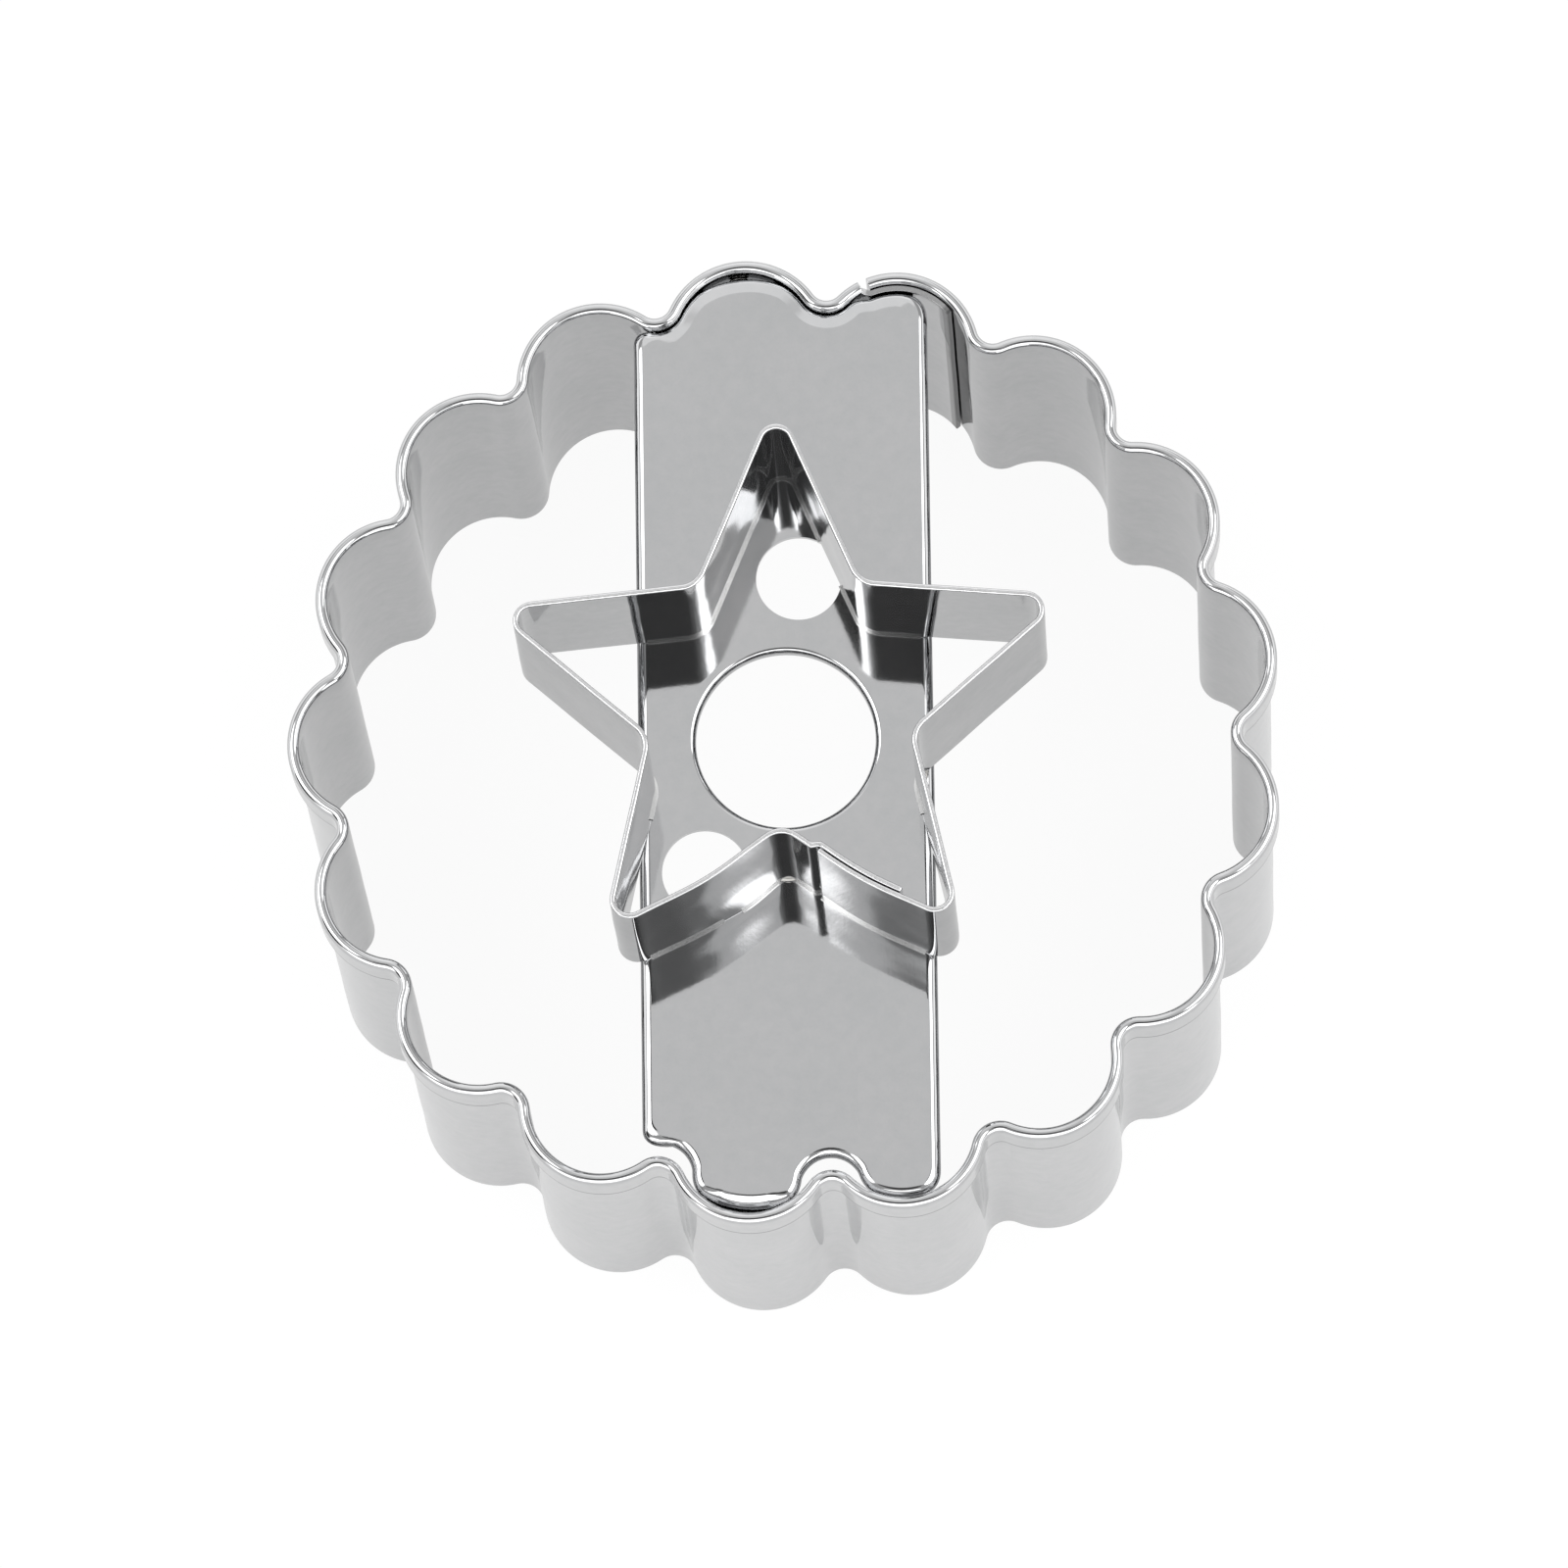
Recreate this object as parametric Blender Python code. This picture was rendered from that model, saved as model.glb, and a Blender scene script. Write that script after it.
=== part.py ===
"""Two-sided biscuit cutter made of thin polished stainless sheet.

A scalloped ring stands on its cutting edge and carries a bridge plate across its hemmed upper edge. A strip
bent into a five-pointed star stands on the plate and cuts when the cutter is turned over. The ring and the
star are each one strip whose ends lap. Nothing moves: spot welds hold the three sheet pieces together.

The frame is in metres with +Z up. The ring's axis is the Z axis, the cutting edge stands on z = 0, and the
plate runs along Y.
"""

import math

import bmesh
import bpy
from mathutils import Matrix, Vector

MM = 0.001

# Ring: sizes over the metal, radii of bends on the middle of the sheet
RING_DIAMETER = 50.0 * MM
RING_HEIGHT = 21.6 * MM
RING_SHEET = 0.28 * MM
SCALLOPS = 17
SCALLOP_DEPTH = 2.1 * MM
VALLEY_BEND = 1.3 * MM
FIRST_CREST_ANGLE = 94.85
HEM_WIDTH = 2.4 * MM
RING_LAP_LENGTH = 4.8 * MM
RING_LAP_CREST_NUMBER = -1

# Bridge plate
PLATE_WIDTH = 14.8 * MM
PLATE_SHEET = 0.3 * MM
PLATE_DROP = 0.4 * MM
PLATE_BEND = 0.5 * MM
PLATE_CORNER = 0.8 * MM          # taken off each corner in plan, along both of its sides
END_FLANGE_DEPTH = 2.4 * MM
FRONT_TAB_WIDTH = 4.4 * MM       # the front end turns down in tabs this wide, one at each crest
FRONT_RELIEF = 0.45 * MM         # how far the front end is cut back at the valleys between its tabs
CENTRE_HOLE_DIAMETER = 9.0 * MM
CENTRE_HOLE_LIP_DEPTH = 0.6 * MM
SMALL_HOLE_DIAMETER = 4.3 * MM
BACK_HOLE_DIRECTION = 84.7
BACK_HOLE_WEB = 1.7 * MM         # between the back small hole and the centre hole
FRONT_HOLE_WEB = 1.25 * MM       # between the front small hole and the centre hole
FRONT_HOLE_EDGE = 1.13 * MM      # between the front small hole and the plate's left edge

# Star: radii on the middle of the sheet
STAR_ARMS = 5
STAR_TIP_RADIUS = 13.65 * MM
STAR_NOTCH_RADIUS = 7.06 * MM
STAR_TIP_BEND = 0.83 * MM
STAR_NOTCH_BEND = 0.7 * MM
STAR_HEIGHT = 9.0 * MM
STAR_SHEET = 0.28 * MM
FIRST_ARM_ANGLE = 90.0
STAR_LAP_NOTCH_NUMBER = 2.5
STAR_LAP_FROM_NOTCH = 2.1 * MM
STAR_LAP_LENGTH = 4.6 * MM

# Joints
FOLD_GAP = 0.05 * MM            # between the two layers of a hem or a lap
JOGGLE_LENGTH = 0.3 * MM        # over which the inner end of a lap steps inwards
JOGGLE_CLEARANCE = 0.1 * MM     # from the outer end's edge to that step
WELD_GAP = 0.3 * MM             # between two sheet pieces that a weld joins
WELD_CLEARANCE = 0.05 * MM      # from a weld to each of the two
FLANGE_WELD_DIAMETER = 1.0 * MM
FLANGE_WELD_DEPTH = 1.5 * MM    # of its centre below the plate's face
FLANGE_WELD_INSET = 1.7 * MM    # from the plate's right edge, for the front right one
LAP_WELD_DIAMETER = 1.0 * MM
RING_LAP_WELD_COUNT = 3
STAR_LAP_WELD_COUNT = 2
TACK_LENGTH = 1.2 * MM

# How finely the curves are divided
LEAST_STEP = 0.05 * MM
CORNER_ACCURACY = 0.0001 * MM
SHARP_ANGLE = 40.0
CREST_STEPS = 7
VALLEY_STEPS = 5
TIP_STEPS = 8
NOTCH_STEPS = 5
FOLD_STEPS = 4
PLATE_BEND_STEPS = 4
PLATE_END_STEPS = 26
PLATE_SIDE_STEPS = 6
PLATE_CORNER_STEPS = 4
HOLE_STEPS = 40
SMALL_HOLE_STEPS = 24
WELD_STEPS = 10

STEEL = (0.58, 0.58, 0.59, 1.0)
WELD_STEEL = (0.45, 0.44, 0.43, 1.0)


class Fluted:
    """A closed outline of equal rounded crests and valleys, joined by tangent flanks.

    A place on it is a turn: whole numbers are crests, counted anticlockwise, and halves are valleys. Between
    them a turn grows evenly with the length along the outline.
    """

    def __init__(self, count, crest_radius, valley_radius, crest_bend, valley_bend, first_angle):
        self.step = 2.0 * math.pi / count
        self.first_angle = math.radians(first_angle)
        self.crest_bend = crest_bend
        self.valley_bend = valley_bend
        self.crest_centre = Vector((crest_radius - crest_bend, 0.0))
        self.valley_centre = Matrix.Rotation(self.step / 2.0, 2) @ Vector((valley_radius + valley_bend, 0.0))
        between = self.valley_centre - self.crest_centre
        reach = min((crest_bend + valley_bend) / between.length, 1.0)
        self.flank_normal = math.atan2(between.y, between.x) - math.acos(reach)
        self.crest_length = crest_bend * self.flank_normal
        self.flank_length = between.length * math.sqrt(1.0 - reach * reach)
        self.valley_length = valley_bend * (self.flank_normal - self.step / 2.0)
        self.half_length = self.crest_length + self.flank_length + self.valley_length

    def turns(self, length):
        return length / (2.0 * self.half_length)

    def place(self, turn, offset=0.0):
        """Point and outward normal's angle at a turn, moved out from the outline by offset."""
        crest = round(turn)
        side = 1.0 if turn >= crest else -1.0
        along = abs(turn - crest) * 2.0 * self.half_length
        if along <= self.crest_length:
            angle = along / self.crest_bend
            point = self.crest_centre + (self.crest_bend + offset) * direction(angle)
        elif along <= self.crest_length + self.flank_length:
            angle = self.flank_normal
            run = (along - self.crest_length) * direction(angle + math.pi / 2.0)
            point = self.crest_centre + (self.crest_bend + offset) * direction(angle) + run
        else:
            angle = self.flank_normal - (along - self.crest_length - self.flank_length) / self.valley_bend
            point = self.valley_centre - (self.valley_bend - offset) * direction(angle)
        point.y *= side
        axis = self.first_angle + crest * self.step
        return Matrix.Rotation(axis, 2) @ point, axis + side * angle

    def stations(self, start, end, crest_steps, valley_steps):
        """Turns from start to end that divide the crests' and the valleys' bends evenly."""
        crest_reach = self.turns(self.crest_length)
        valley_reach = self.turns(self.valley_length)
        turns = [start, end]
        for crest in range(math.floor(start) - 1, math.ceil(end) + 2):
            for step in range(crest_steps + 1):
                turns.append(crest + crest_reach * (2.0 * step / crest_steps - 1.0))
            for step in range(valley_steps + 1):
                turns.append(crest + 0.5 + valley_reach * (2.0 * step / valley_steps - 1.0))
        least = self.turns(LEAST_STEP)
        kept = []
        for turn in sorted(turns):
            inside = start <= turn <= end
            if inside and (not kept or turn - kept[-1] > least):
                kept.append(turn)
        kept[-1] = end
        return kept


def direction(angle):
    return Vector((math.cos(angle), math.sin(angle)))


def ramp(value, start, end):
    """0 at start, 1 at end and straight between."""
    return min(max((value - start) / (end - start), 0.0), 1.0)


def ring_outline():
    """Middle of the ring's wall. Its crests' bends are as large as lets them run into the valleys' bends."""
    crest_radius = RING_DIAMETER / 2.0 - 1.5 * RING_SHEET - FOLD_GAP
    valley_radius = crest_radius - SCALLOP_DEPTH
    centre = valley_radius + VALLEY_BEND
    cosine = math.cos(math.pi / SCALLOPS)
    above = centre ** 2 + crest_radius ** 2 - 2.0 * centre * crest_radius * cosine - VALLEY_BEND ** 2
    crest_bend = above / (2.0 * (VALLEY_BEND + crest_radius - centre * cosine))
    return Fluted(SCALLOPS, crest_radius, valley_radius, crest_bend, VALLEY_BEND, FIRST_CREST_ANGLE)


def star_outline():
    return Fluted(STAR_ARMS, STAR_TIP_RADIUS, STAR_NOTCH_RADIUS, STAR_TIP_BEND, STAR_NOTCH_BEND,
                  FIRST_ARM_ANGLE)


RING = ring_outline()
STAR = star_outline()

RING_LAP_STEP = RING_SHEET + FOLD_GAP
RING_OUTER_END = RING_LAP_CREST_NUMBER + RING.turns(RING_LAP_LENGTH / 2.0)
RING_INNER_END = RING_LAP_CREST_NUMBER - RING.turns(RING_LAP_LENGTH / 2.0)
RING_JOGGLE_START = RING_OUTER_END + RING.turns(JOGGLE_CLEARANCE)
RING_JOGGLE_END = RING_JOGGLE_START + RING.turns(JOGGLE_LENGTH)

PLATE_TOP = RING_HEIGHT - PLATE_DROP
PLATE_MIDDLE = PLATE_TOP - PLATE_SHEET / 2.0
PLATE_BEND_MIDDLE = PLATE_BEND - PLATE_SHEET / 2.0
PLATE_END_OFFSET = -RING_SHEET / 2.0 - WELD_GAP - PLATE_SHEET / 2.0

STAR_LAP_STEP = STAR_SHEET + FOLD_GAP
STAR_OUTER_END = STAR_LAP_NOTCH_NUMBER + STAR.turns(STAR_LAP_FROM_NOTCH)
STAR_INNER_END = STAR_OUTER_END + STAR.turns(STAR_LAP_LENGTH) + STAR_ARMS
STAR_JOGGLE_END = STAR_OUTER_END + STAR_ARMS - STAR.turns(JOGGLE_CLEARANCE)
STAR_JOGGLE_START = STAR_JOGGLE_END - STAR.turns(JOGGLE_LENGTH)
STAR_FOOT = PLATE_TOP + WELD_GAP


def ring_lap_offset(turn):
    """How far the strip's inner end is stepped in at a turn near the lap."""
    return -RING_LAP_STEP * (1.0 - ramp(turn, RING_JOGGLE_START, RING_JOGGLE_END))


def steel(name, colour, roughness):
    material = bpy.data.materials.new(name)
    material.use_nodes = True
    shader = material.node_tree.nodes["Principled BSDF"]
    shader.inputs["Base Color"].default_value = colour
    shader.inputs["Metallic"].default_value = 1.0
    shader.inputs["Roughness"].default_value = roughness
    return material


def add_object(name, mesh, material, parent):
    mesh.materials.append(material)
    piece = bpy.data.objects.new(name, mesh)
    piece.parent = parent
    bpy.context.collection.objects.link(piece)
    return piece


def sheet_mesh(name, columns):
    """A sheet's middle surface from neighbouring columns of points. A short column leaves out the last rows."""
    shell = bmesh.new()
    corners = [[shell.verts.new(point) for point in column] for column in columns]
    for near, far in zip(corners, corners[1:]):
        for row in range(min(len(near), len(far)) - 1):
            shell.faces.new((near[row], far[row], far[row + 1], near[row + 1]))
    mesh = bpy.data.meshes.new(name)
    shell.to_mesh(mesh)
    shell.free()
    return mesh


def thicken(piece, thickness):
    wall = piece.modifiers.new("sheet thickness", "SOLIDIFY")
    wall.thickness = thickness
    wall.offset = 0.0
    wall.use_even_offset = True


def join_pads(piece, pads):
    """Weld small pads into a strip, so that its lapped ends are one solid."""
    for pad in pads:
        union = piece.modifiers.new(pad.name, "BOOLEAN")
        union.operation = "UNION"
        union.solver = "EXACT"
        union.object = pad


def finish(piece, helpers=()):
    """Apply the modifiers, remove the helpers and shade the bends smooth."""
    evaluated = piece.evaluated_get(bpy.context.evaluated_depsgraph_get())
    mesh = bpy.data.meshes.new_from_object(evaluated)
    piece.modifiers.clear()
    piece.data = mesh
    for helper in helpers:
        bpy.data.objects.remove(helper)
    mesh.shade_smooth()
    mesh.set_sharp_from_angle(angle=math.radians(SHARP_ANGLE))


def weld_pad(name, outline, turn, offset, height, diameter, thickness, material, parent):
    """A round pad around a turn, whose middle follows an outline moved out by offset."""
    columns = []
    for step in range(WELD_STEPS):
        around = math.pi * (step + 0.5) / WELD_STEPS
        along = -diameter / 2.0 * math.cos(around)
        reach = diameter / 2.0 * math.sin(around)
        point, _ = outline.place(turn + outline.turns(along), offset)
        columns.append([(point.x, point.y, height - reach), (point.x, point.y, height + reach)])
    pad = add_object(name, sheet_mesh(name, columns), material, parent)
    thicken(pad, thickness)
    return pad


def lap_welds(outline, turn, step, low, high, count, material, parent):
    """Pads that bridge the gap in a lap, evenly spaced in height, each reaching the middle of both layers."""
    pads = []
    for number in range(count):
        height = low + (high - low) * (number + 0.5) / count
        pads.append(weld_pad("lap weld", outline, turn, -step / 2.0, height, LAP_WELD_DIAMETER, step,
                             material, parent))
    return pads


def build_outer_ring(parent):
    """The scalloped strip: wall, folded hem and lapped ends."""
    fold = (RING_SHEET + FOLD_GAP) / 2.0
    fold_height = RING_HEIGHT - RING_SHEET / 2.0 - fold
    columns = []
    stations = RING.stations(RING_INNER_END, RING_OUTER_END + SCALLOPS, CREST_STEPS, VALLEY_STEPS)
    joggle = (RING_JOGGLE_START, RING_JOGGLE_END)
    stations = sorted(set(turn for turn in stations if not joggle[0] < turn < joggle[1]) | set(joggle))
    for turn in stations:
        offset = ring_lap_offset(turn)
        profile = [(0.0, 0.0), (0.0, fold_height)]
        if turn >= RING_JOGGLE_END:
            for step in range(1, FOLD_STEPS + 1):
                angle = math.pi * step / FOLD_STEPS
                profile.append((fold * (1.0 - math.cos(angle)), fold_height + fold * math.sin(angle)))
            profile.append((2.0 * fold, RING_HEIGHT - HEM_WIDTH))
        column = []
        for outward, height in profile:
            point, _ = RING.place(turn, offset + outward)
            column.append((point.x, point.y, height))
        columns.append(column)
    material = steel("polished ring strip", STEEL, 0.12)
    ring = add_object("outer_ring", sheet_mesh("outer_ring", columns), material, parent)
    thicken(ring, RING_SHEET)
    pads = lap_welds(RING, RING_LAP_CREST_NUMBER, RING_LAP_STEP, 0.0, RING_HEIGHT - HEM_WIDTH, RING_LAP_WELD_COUNT,
                     material, parent)
    join_pads(ring, pads)
    finish(ring, pads)


def plate_corner(end_turn, inset, side):
    """Turn at which the plate's end outline, moved in by inset, meets the plate's long edge on that side.

    It is found by halving the quarter of the ring between the end's middle, at end_turn, and that side.
    Turns grow towards -X at the back end, which is turn 0, and towards +X at the front end.
    """
    edge = PLATE_WIDTH / 2.0 - PLATE_SHEET / 2.0 - inset
    quarter = SCALLOPS / 4.0
    near = end_turn
    far = end_turn + (side * quarter if end_turn > quarter else -side * quarter)
    while abs(far - near) > RING.turns(CORNER_ACCURACY):
        middle = (near + far) / 2.0
        if side * plate_end_point(middle, inset).x < edge:
            near = middle
        else:
            far = middle
    return (near + far) / 2.0


def at_front(turn):
    return abs(turn - SCALLOPS / 2.0) < SCALLOPS / 4.0


def plate_end_point(turn, inset):
    """Point of the plate's end outline, which keeps the weld gap to the ring's wall and to its inner end.

    The front end is cut back further at the ring's valleys.
    """
    near_lap = RING_INNER_END - 1.0 <= turn <= RING_JOGGLE_END
    lap_offset = ring_lap_offset(turn) if near_lap else 0.0
    valley = max(-math.cos(2.0 * math.pi * turn), 0.0) ** 2
    relief = FRONT_RELIEF * valley if at_front(turn) else 0.0
    point, _ = RING.place(turn, PLATE_END_OFFSET + lap_offset - relief - inset)
    return point


def turned_down(turn):
    """Whether the plate's end has its flange at a turn: all along the back, only in the tabs at the front."""
    return not at_front(turn) or abs(turn - round(turn)) <= RING.turns(FRONT_TAB_WIDTH / 2.0)


def rounded_corner(before, corner, after):
    """Points between before and after on a curve that leaves and arrives along the corner's two sides."""
    points = []
    for step in range(1, PLATE_CORNER_STEPS):
        share = step / PLATE_CORNER_STEPS
        points.append(before.lerp(corner, share).lerp(corner.lerp(after, share), share))
    return points


def plate_loop(inset):
    """The plate's outline moved in by inset, anticlockwise, and which of its points have a flange below."""
    points = []
    flanged = []
    trim = RING.turns(PLATE_CORNER)
    for end_turn, start_side in ((0.0, 1.0), (SCALLOPS / 2.0, -1.0)):
        start = plate_corner(end_turn, inset, start_side)
        end = plate_corner(end_turn, inset, -start_side)
        following = plate_corner(SCALLOPS / 2.0 - end_turn, inset, -start_side)
        for step in range(PLATE_END_STEPS + 1):
            turn = start + trim + (end - start - 2.0 * trim) * step / PLATE_END_STEPS
            points.append(plate_end_point(turn, inset))
            flanged.append(turned_down(turn))
        corner = plate_end_point(end, inset)
        far_corner = plate_end_point(following, inset)
        along = (far_corner - corner).normalized() * PLATE_CORNER
        side = []
        for step in range(PLATE_SIDE_STEPS + 1):
            side.append((corner + along).lerp(far_corner - along, step / PLATE_SIDE_STEPS))
        next_end = plate_end_point(following + trim, inset)
        side = rounded_corner(points[-1], corner, side[0]) + side
        side = side + rounded_corner(side[-1], far_corner, next_end)
        flanged += [False] * len(side)
        points += side
    return points, flanged


def bend_profile(steps):
    """Inset and height of a quarter bend on the plate's middle surface, from its flat to its foot."""
    profile = []
    for step in range(steps + 1):
        angle = math.pi / 2.0 * step / steps
        inset = PLATE_BEND_MIDDLE * (1.0 - math.sin(angle))
        drop = PLATE_BEND_MIDDLE * (1.0 - math.cos(angle))
        profile.append((inset, -drop))
    return profile


def small_hole_centres():
    """Middles of the two plain holes, one behind the centre hole and one in front of it at the left edge."""
    reach = (CENTRE_HOLE_DIAMETER + SMALL_HOLE_DIAMETER) / 2.0
    back = (reach + BACK_HOLE_WEB) * direction(math.radians(BACK_HOLE_DIRECTION))
    across = PLATE_WIDTH / 2.0 - FRONT_HOLE_EDGE - SMALL_HOLE_DIAMETER / 2.0
    along = math.sqrt((reach + FRONT_HOLE_WEB) ** 2 - across ** 2)
    return back, Vector((-across, -along))


def build_bridge_plate(parent):
    """Flat plate with rounded edges, turned-down ends, a lipped centre hole and two plain holes."""
    plate = bmesh.new()
    profile = bend_profile(PLATE_BEND_STEPS)
    rings = []
    for inset, height in profile:
        points, flanged = plate_loop(inset)
        rings.append([plate.verts.new((point.x, point.y, height)) for point in points])
    count = len(rings[0])
    for upper, lower in zip(rings, rings[1:]):
        for index in range(count):
            following = (index + 1) % count
            plate.faces.new((upper[index], upper[following], lower[following], lower[index]))
    flange_foot = PLATE_SHEET / 2.0 - END_FLANGE_DEPTH
    foot = {}
    for index in range(count):
        if flanged[index]:
            above = rings[-1][index].co
            foot[index] = plate.verts.new((above.x, above.y, flange_foot))
    for index in range(count):
        following = (index + 1) % count
        if flanged[index] and flanged[following]:
            plate.faces.new((rings[-1][index], rings[-1][following], foot[following], foot[index]))

    lip_rings = []
    lip_profile = profile + [(0.0, PLATE_SHEET / 2.0 - CENTRE_HOLE_LIP_DEPTH)]
    for inset, height in lip_profile:
        radius = CENTRE_HOLE_DIAMETER / 2.0 + PLATE_SHEET / 2.0 + inset
        lip_rings.append(circle(plate, (0.0, 0.0), radius, height, HOLE_STEPS))
    for upper, lower in zip(lip_rings, lip_rings[1:]):
        for index in range(HOLE_STEPS):
            following = (index + 1) % HOLE_STEPS
            plate.faces.new((upper[index], lower[index], lower[following], upper[following]))
    flat_loops = [rings[0], lip_rings[0]]
    for centre in small_hole_centres():
        flat_loops.append(circle(plate, centre, SMALL_HOLE_DIAMETER / 2.0, 0.0, SMALL_HOLE_STEPS))
    border = []
    for loop in flat_loops:
        for first, second in zip(loop, loop[1:] + loop[:1]):
            edge = plate.edges.get((first, second)) or plate.edges.new((first, second))
            border.append(edge)
    bmesh.ops.triangle_fill(plate, use_beauty=True, use_dissolve=False, edges=border)
    bmesh.ops.recalc_face_normals(plate, faces=plate.faces)
    mesh = bpy.data.meshes.new("bridge_plate")
    plate.to_mesh(mesh)
    plate.free()
    piece = add_object("bridge_plate", mesh, steel("polished plate sheet", STEEL, 0.1), parent)
    piece.location.z = PLATE_MIDDLE
    thicken(piece, PLATE_SHEET)
    finish(piece)


def circle(shell, centre, radius, height, steps):
    loop = []
    for step in range(steps):
        point = Vector(centre) + radius * direction(2.0 * math.pi * step / steps)
        loop.append(shell.verts.new((point.x, point.y, height)))
    return loop


def build_star_cutter(parent):
    """The star strip, standing on the plate, its inner end stepped in behind its outer end."""
    stations = STAR.stations(STAR_OUTER_END, STAR_INNER_END, TIP_STEPS, NOTCH_STEPS)
    stations = sorted(set(stations) | {STAR_JOGGLE_START, STAR_JOGGLE_END})
    columns = []
    for turn in stations:
        offset = -STAR_LAP_STEP * ramp(turn, STAR_JOGGLE_START, STAR_JOGGLE_END)
        point, _ = STAR.place(turn, offset)
        columns.append([(point.x, point.y, 0.0), (point.x, point.y, STAR_HEIGHT)])
    material = steel("polished star strip", STEEL, 0.12)
    star = add_object("star_cutter", sheet_mesh("star_cutter", columns), material, parent)
    thicken(star, STAR_SHEET)
    lap_middle = STAR_OUTER_END + STAR.turns(STAR_LAP_LENGTH / 2.0)
    pads = lap_welds(STAR, lap_middle, STAR_LAP_STEP, 0.0, STAR_HEIGHT, STAR_LAP_WELD_COUNT, material, parent)
    join_pads(star, pads)
    finish(star, pads)
    star.location.z = STAR_FOOT


def build_flange_welds(parent):
    """Spot welds between the plate's turned-down ends and the ring, two at each end."""
    offset = -RING_SHEET / 2.0 - WELD_GAP / 2.0
    thickness = WELD_GAP - 2.0 * WELD_CLEARANCE
    height = PLATE_TOP - FLANGE_WELD_DEPTH
    material = steel("weld metal", WELD_STEEL, 0.35)
    middle_of_lap = (RING_OUTER_END + plate_corner(0.0, 0.0, 1.0)) / 2.0
    places = {
        "flange_weld_back_left": (0.0, offset),
        "flange_weld_back_right": (middle_of_lap, offset - RING_LAP_STEP),
        "flange_weld_front_left": (float(SCALLOPS // 2), offset),
        "flange_weld_front_right": (plate_corner(SCALLOPS / 2.0, FLANGE_WELD_INSET, 1.0), offset),
    }
    for name, (turn, weld_offset) in places.items():
        weld = weld_pad(name, RING, turn, weld_offset, height, FLANGE_WELD_DIAMETER, thickness, material,
                        parent)
        finish(weld)


def build_star_tacks(parent):
    """Short welds under the star's foot, one at each notch, where the strip stands on the plate."""
    material = steel("tack metal", WELD_STEEL, 0.35)
    reach = STAR.turns(TACK_LENGTH / 2.0)
    height = WELD_GAP - 2.0 * WELD_CLEARANCE
    for number in range(STAR_ARMS):
        notch = number + 0.5
        columns = []
        for turn in STAR.stations(notch - reach, notch + reach, TIP_STEPS, NOTCH_STEPS):
            point, _ = STAR.place(turn)
            columns.append([(point.x, point.y, 0.0), (point.x, point.y, height)])
        name = f"star_tack_{number + 1}"
        tack = add_object(name, sheet_mesh(name, columns), material, parent)
        thicken(tack, STAR_SHEET)
        finish(tack)
        tack.location.z = PLATE_TOP + WELD_CLEARANCE


def build_cutter():
    for leftover in list(bpy.data.objects):
        bpy.data.objects.remove(leftover)
    cutter = bpy.data.objects.new("linzer_cutter", None)
    bpy.context.collection.objects.link(cutter)
    build_outer_ring(cutter)
    build_bridge_plate(cutter)
    build_star_cutter(cutter)
    build_flange_welds(cutter)
    build_star_tacks(cutter)


build_cutter()
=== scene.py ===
"""Looks of a linzer cookie cutter: a scalloped ring, a bridge plate and a star, all of stainless sheet."""

import math

import bmesh
import bpy
import numpy as np
from mathutils import Matrix, Vector, noise
from mathutils.geometry import delaunay_2d_cdt


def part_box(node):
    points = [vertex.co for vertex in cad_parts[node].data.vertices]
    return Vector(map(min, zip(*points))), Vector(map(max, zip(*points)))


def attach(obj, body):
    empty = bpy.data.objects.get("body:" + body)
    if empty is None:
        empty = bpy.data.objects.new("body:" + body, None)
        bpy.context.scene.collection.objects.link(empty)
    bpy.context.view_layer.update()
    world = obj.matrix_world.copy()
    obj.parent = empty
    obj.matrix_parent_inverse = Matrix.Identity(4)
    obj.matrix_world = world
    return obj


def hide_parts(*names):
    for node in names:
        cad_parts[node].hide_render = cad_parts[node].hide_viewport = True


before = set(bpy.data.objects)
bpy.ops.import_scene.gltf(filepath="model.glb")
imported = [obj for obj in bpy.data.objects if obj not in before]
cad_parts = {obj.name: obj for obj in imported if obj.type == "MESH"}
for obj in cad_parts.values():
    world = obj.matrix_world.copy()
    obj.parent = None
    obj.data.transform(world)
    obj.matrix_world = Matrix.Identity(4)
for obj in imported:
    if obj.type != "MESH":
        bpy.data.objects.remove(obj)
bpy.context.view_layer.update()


# Outer ring
# One strip of polished stainless sheet, bent into seventeen scallops. Its upper edge is folded outwards and
# pressed flat, its lower edge is left sharp to cut. The ends lap at the back right and are spot welded there:
# the inner end has no hem and is stepped in by about one sheet.

MM = 0.001
SCALLOPS = 17
# A little under the measured 50 mm, so that the sheet's waviness stays within the part's size
RING_DIAMETER = 49.9 * MM
RING_HEIGHT = 21.6 * MM
RING_SHEET = 0.28 * MM
SCALLOP_DEPTH = 2.1 * MM
VALLEY_BEND = 1.3 * MM
# The bends are drawn a hair tighter, so that a crest's and a valley's never share a point
BEND_SHARE = 0.997
# Angles are in degrees. Places along a strip are in turns: one turn is one scallop, or one arm of the star
FIRST_CREST_ANGLE = 94.85
HEM_WIDTH = 2.4 * MM
HEM_GAP = 0.05 * MM
# The hem's lower edge wanders, with this many waves to a scallop and down to this share of its length
HEM_WAVES = 1.7
HEM_SHORTEST = 0.94
RING_LAP_MIDDLE = -1.0
RING_LAP_LENGTH = 4.8 * MM
JOGGLE_CLEARANCE = 0.1 * MM
JOGGLE_LENGTH = 0.3 * MM
HEM_END_GAP = 0.3 * MM
RING_WAVINESS = 0.012 * MM
RING_WAVE_LENGTH = 5.0 * MM
EDGE_ROUND = 0.06 * MM
COLUMNS_PER_SCALLOP = 56
RING_WALL_ROWS = 16
FOLD_ROWS = 12
HEM_ROWS = 6
FILLET_STEPS = 64
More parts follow.
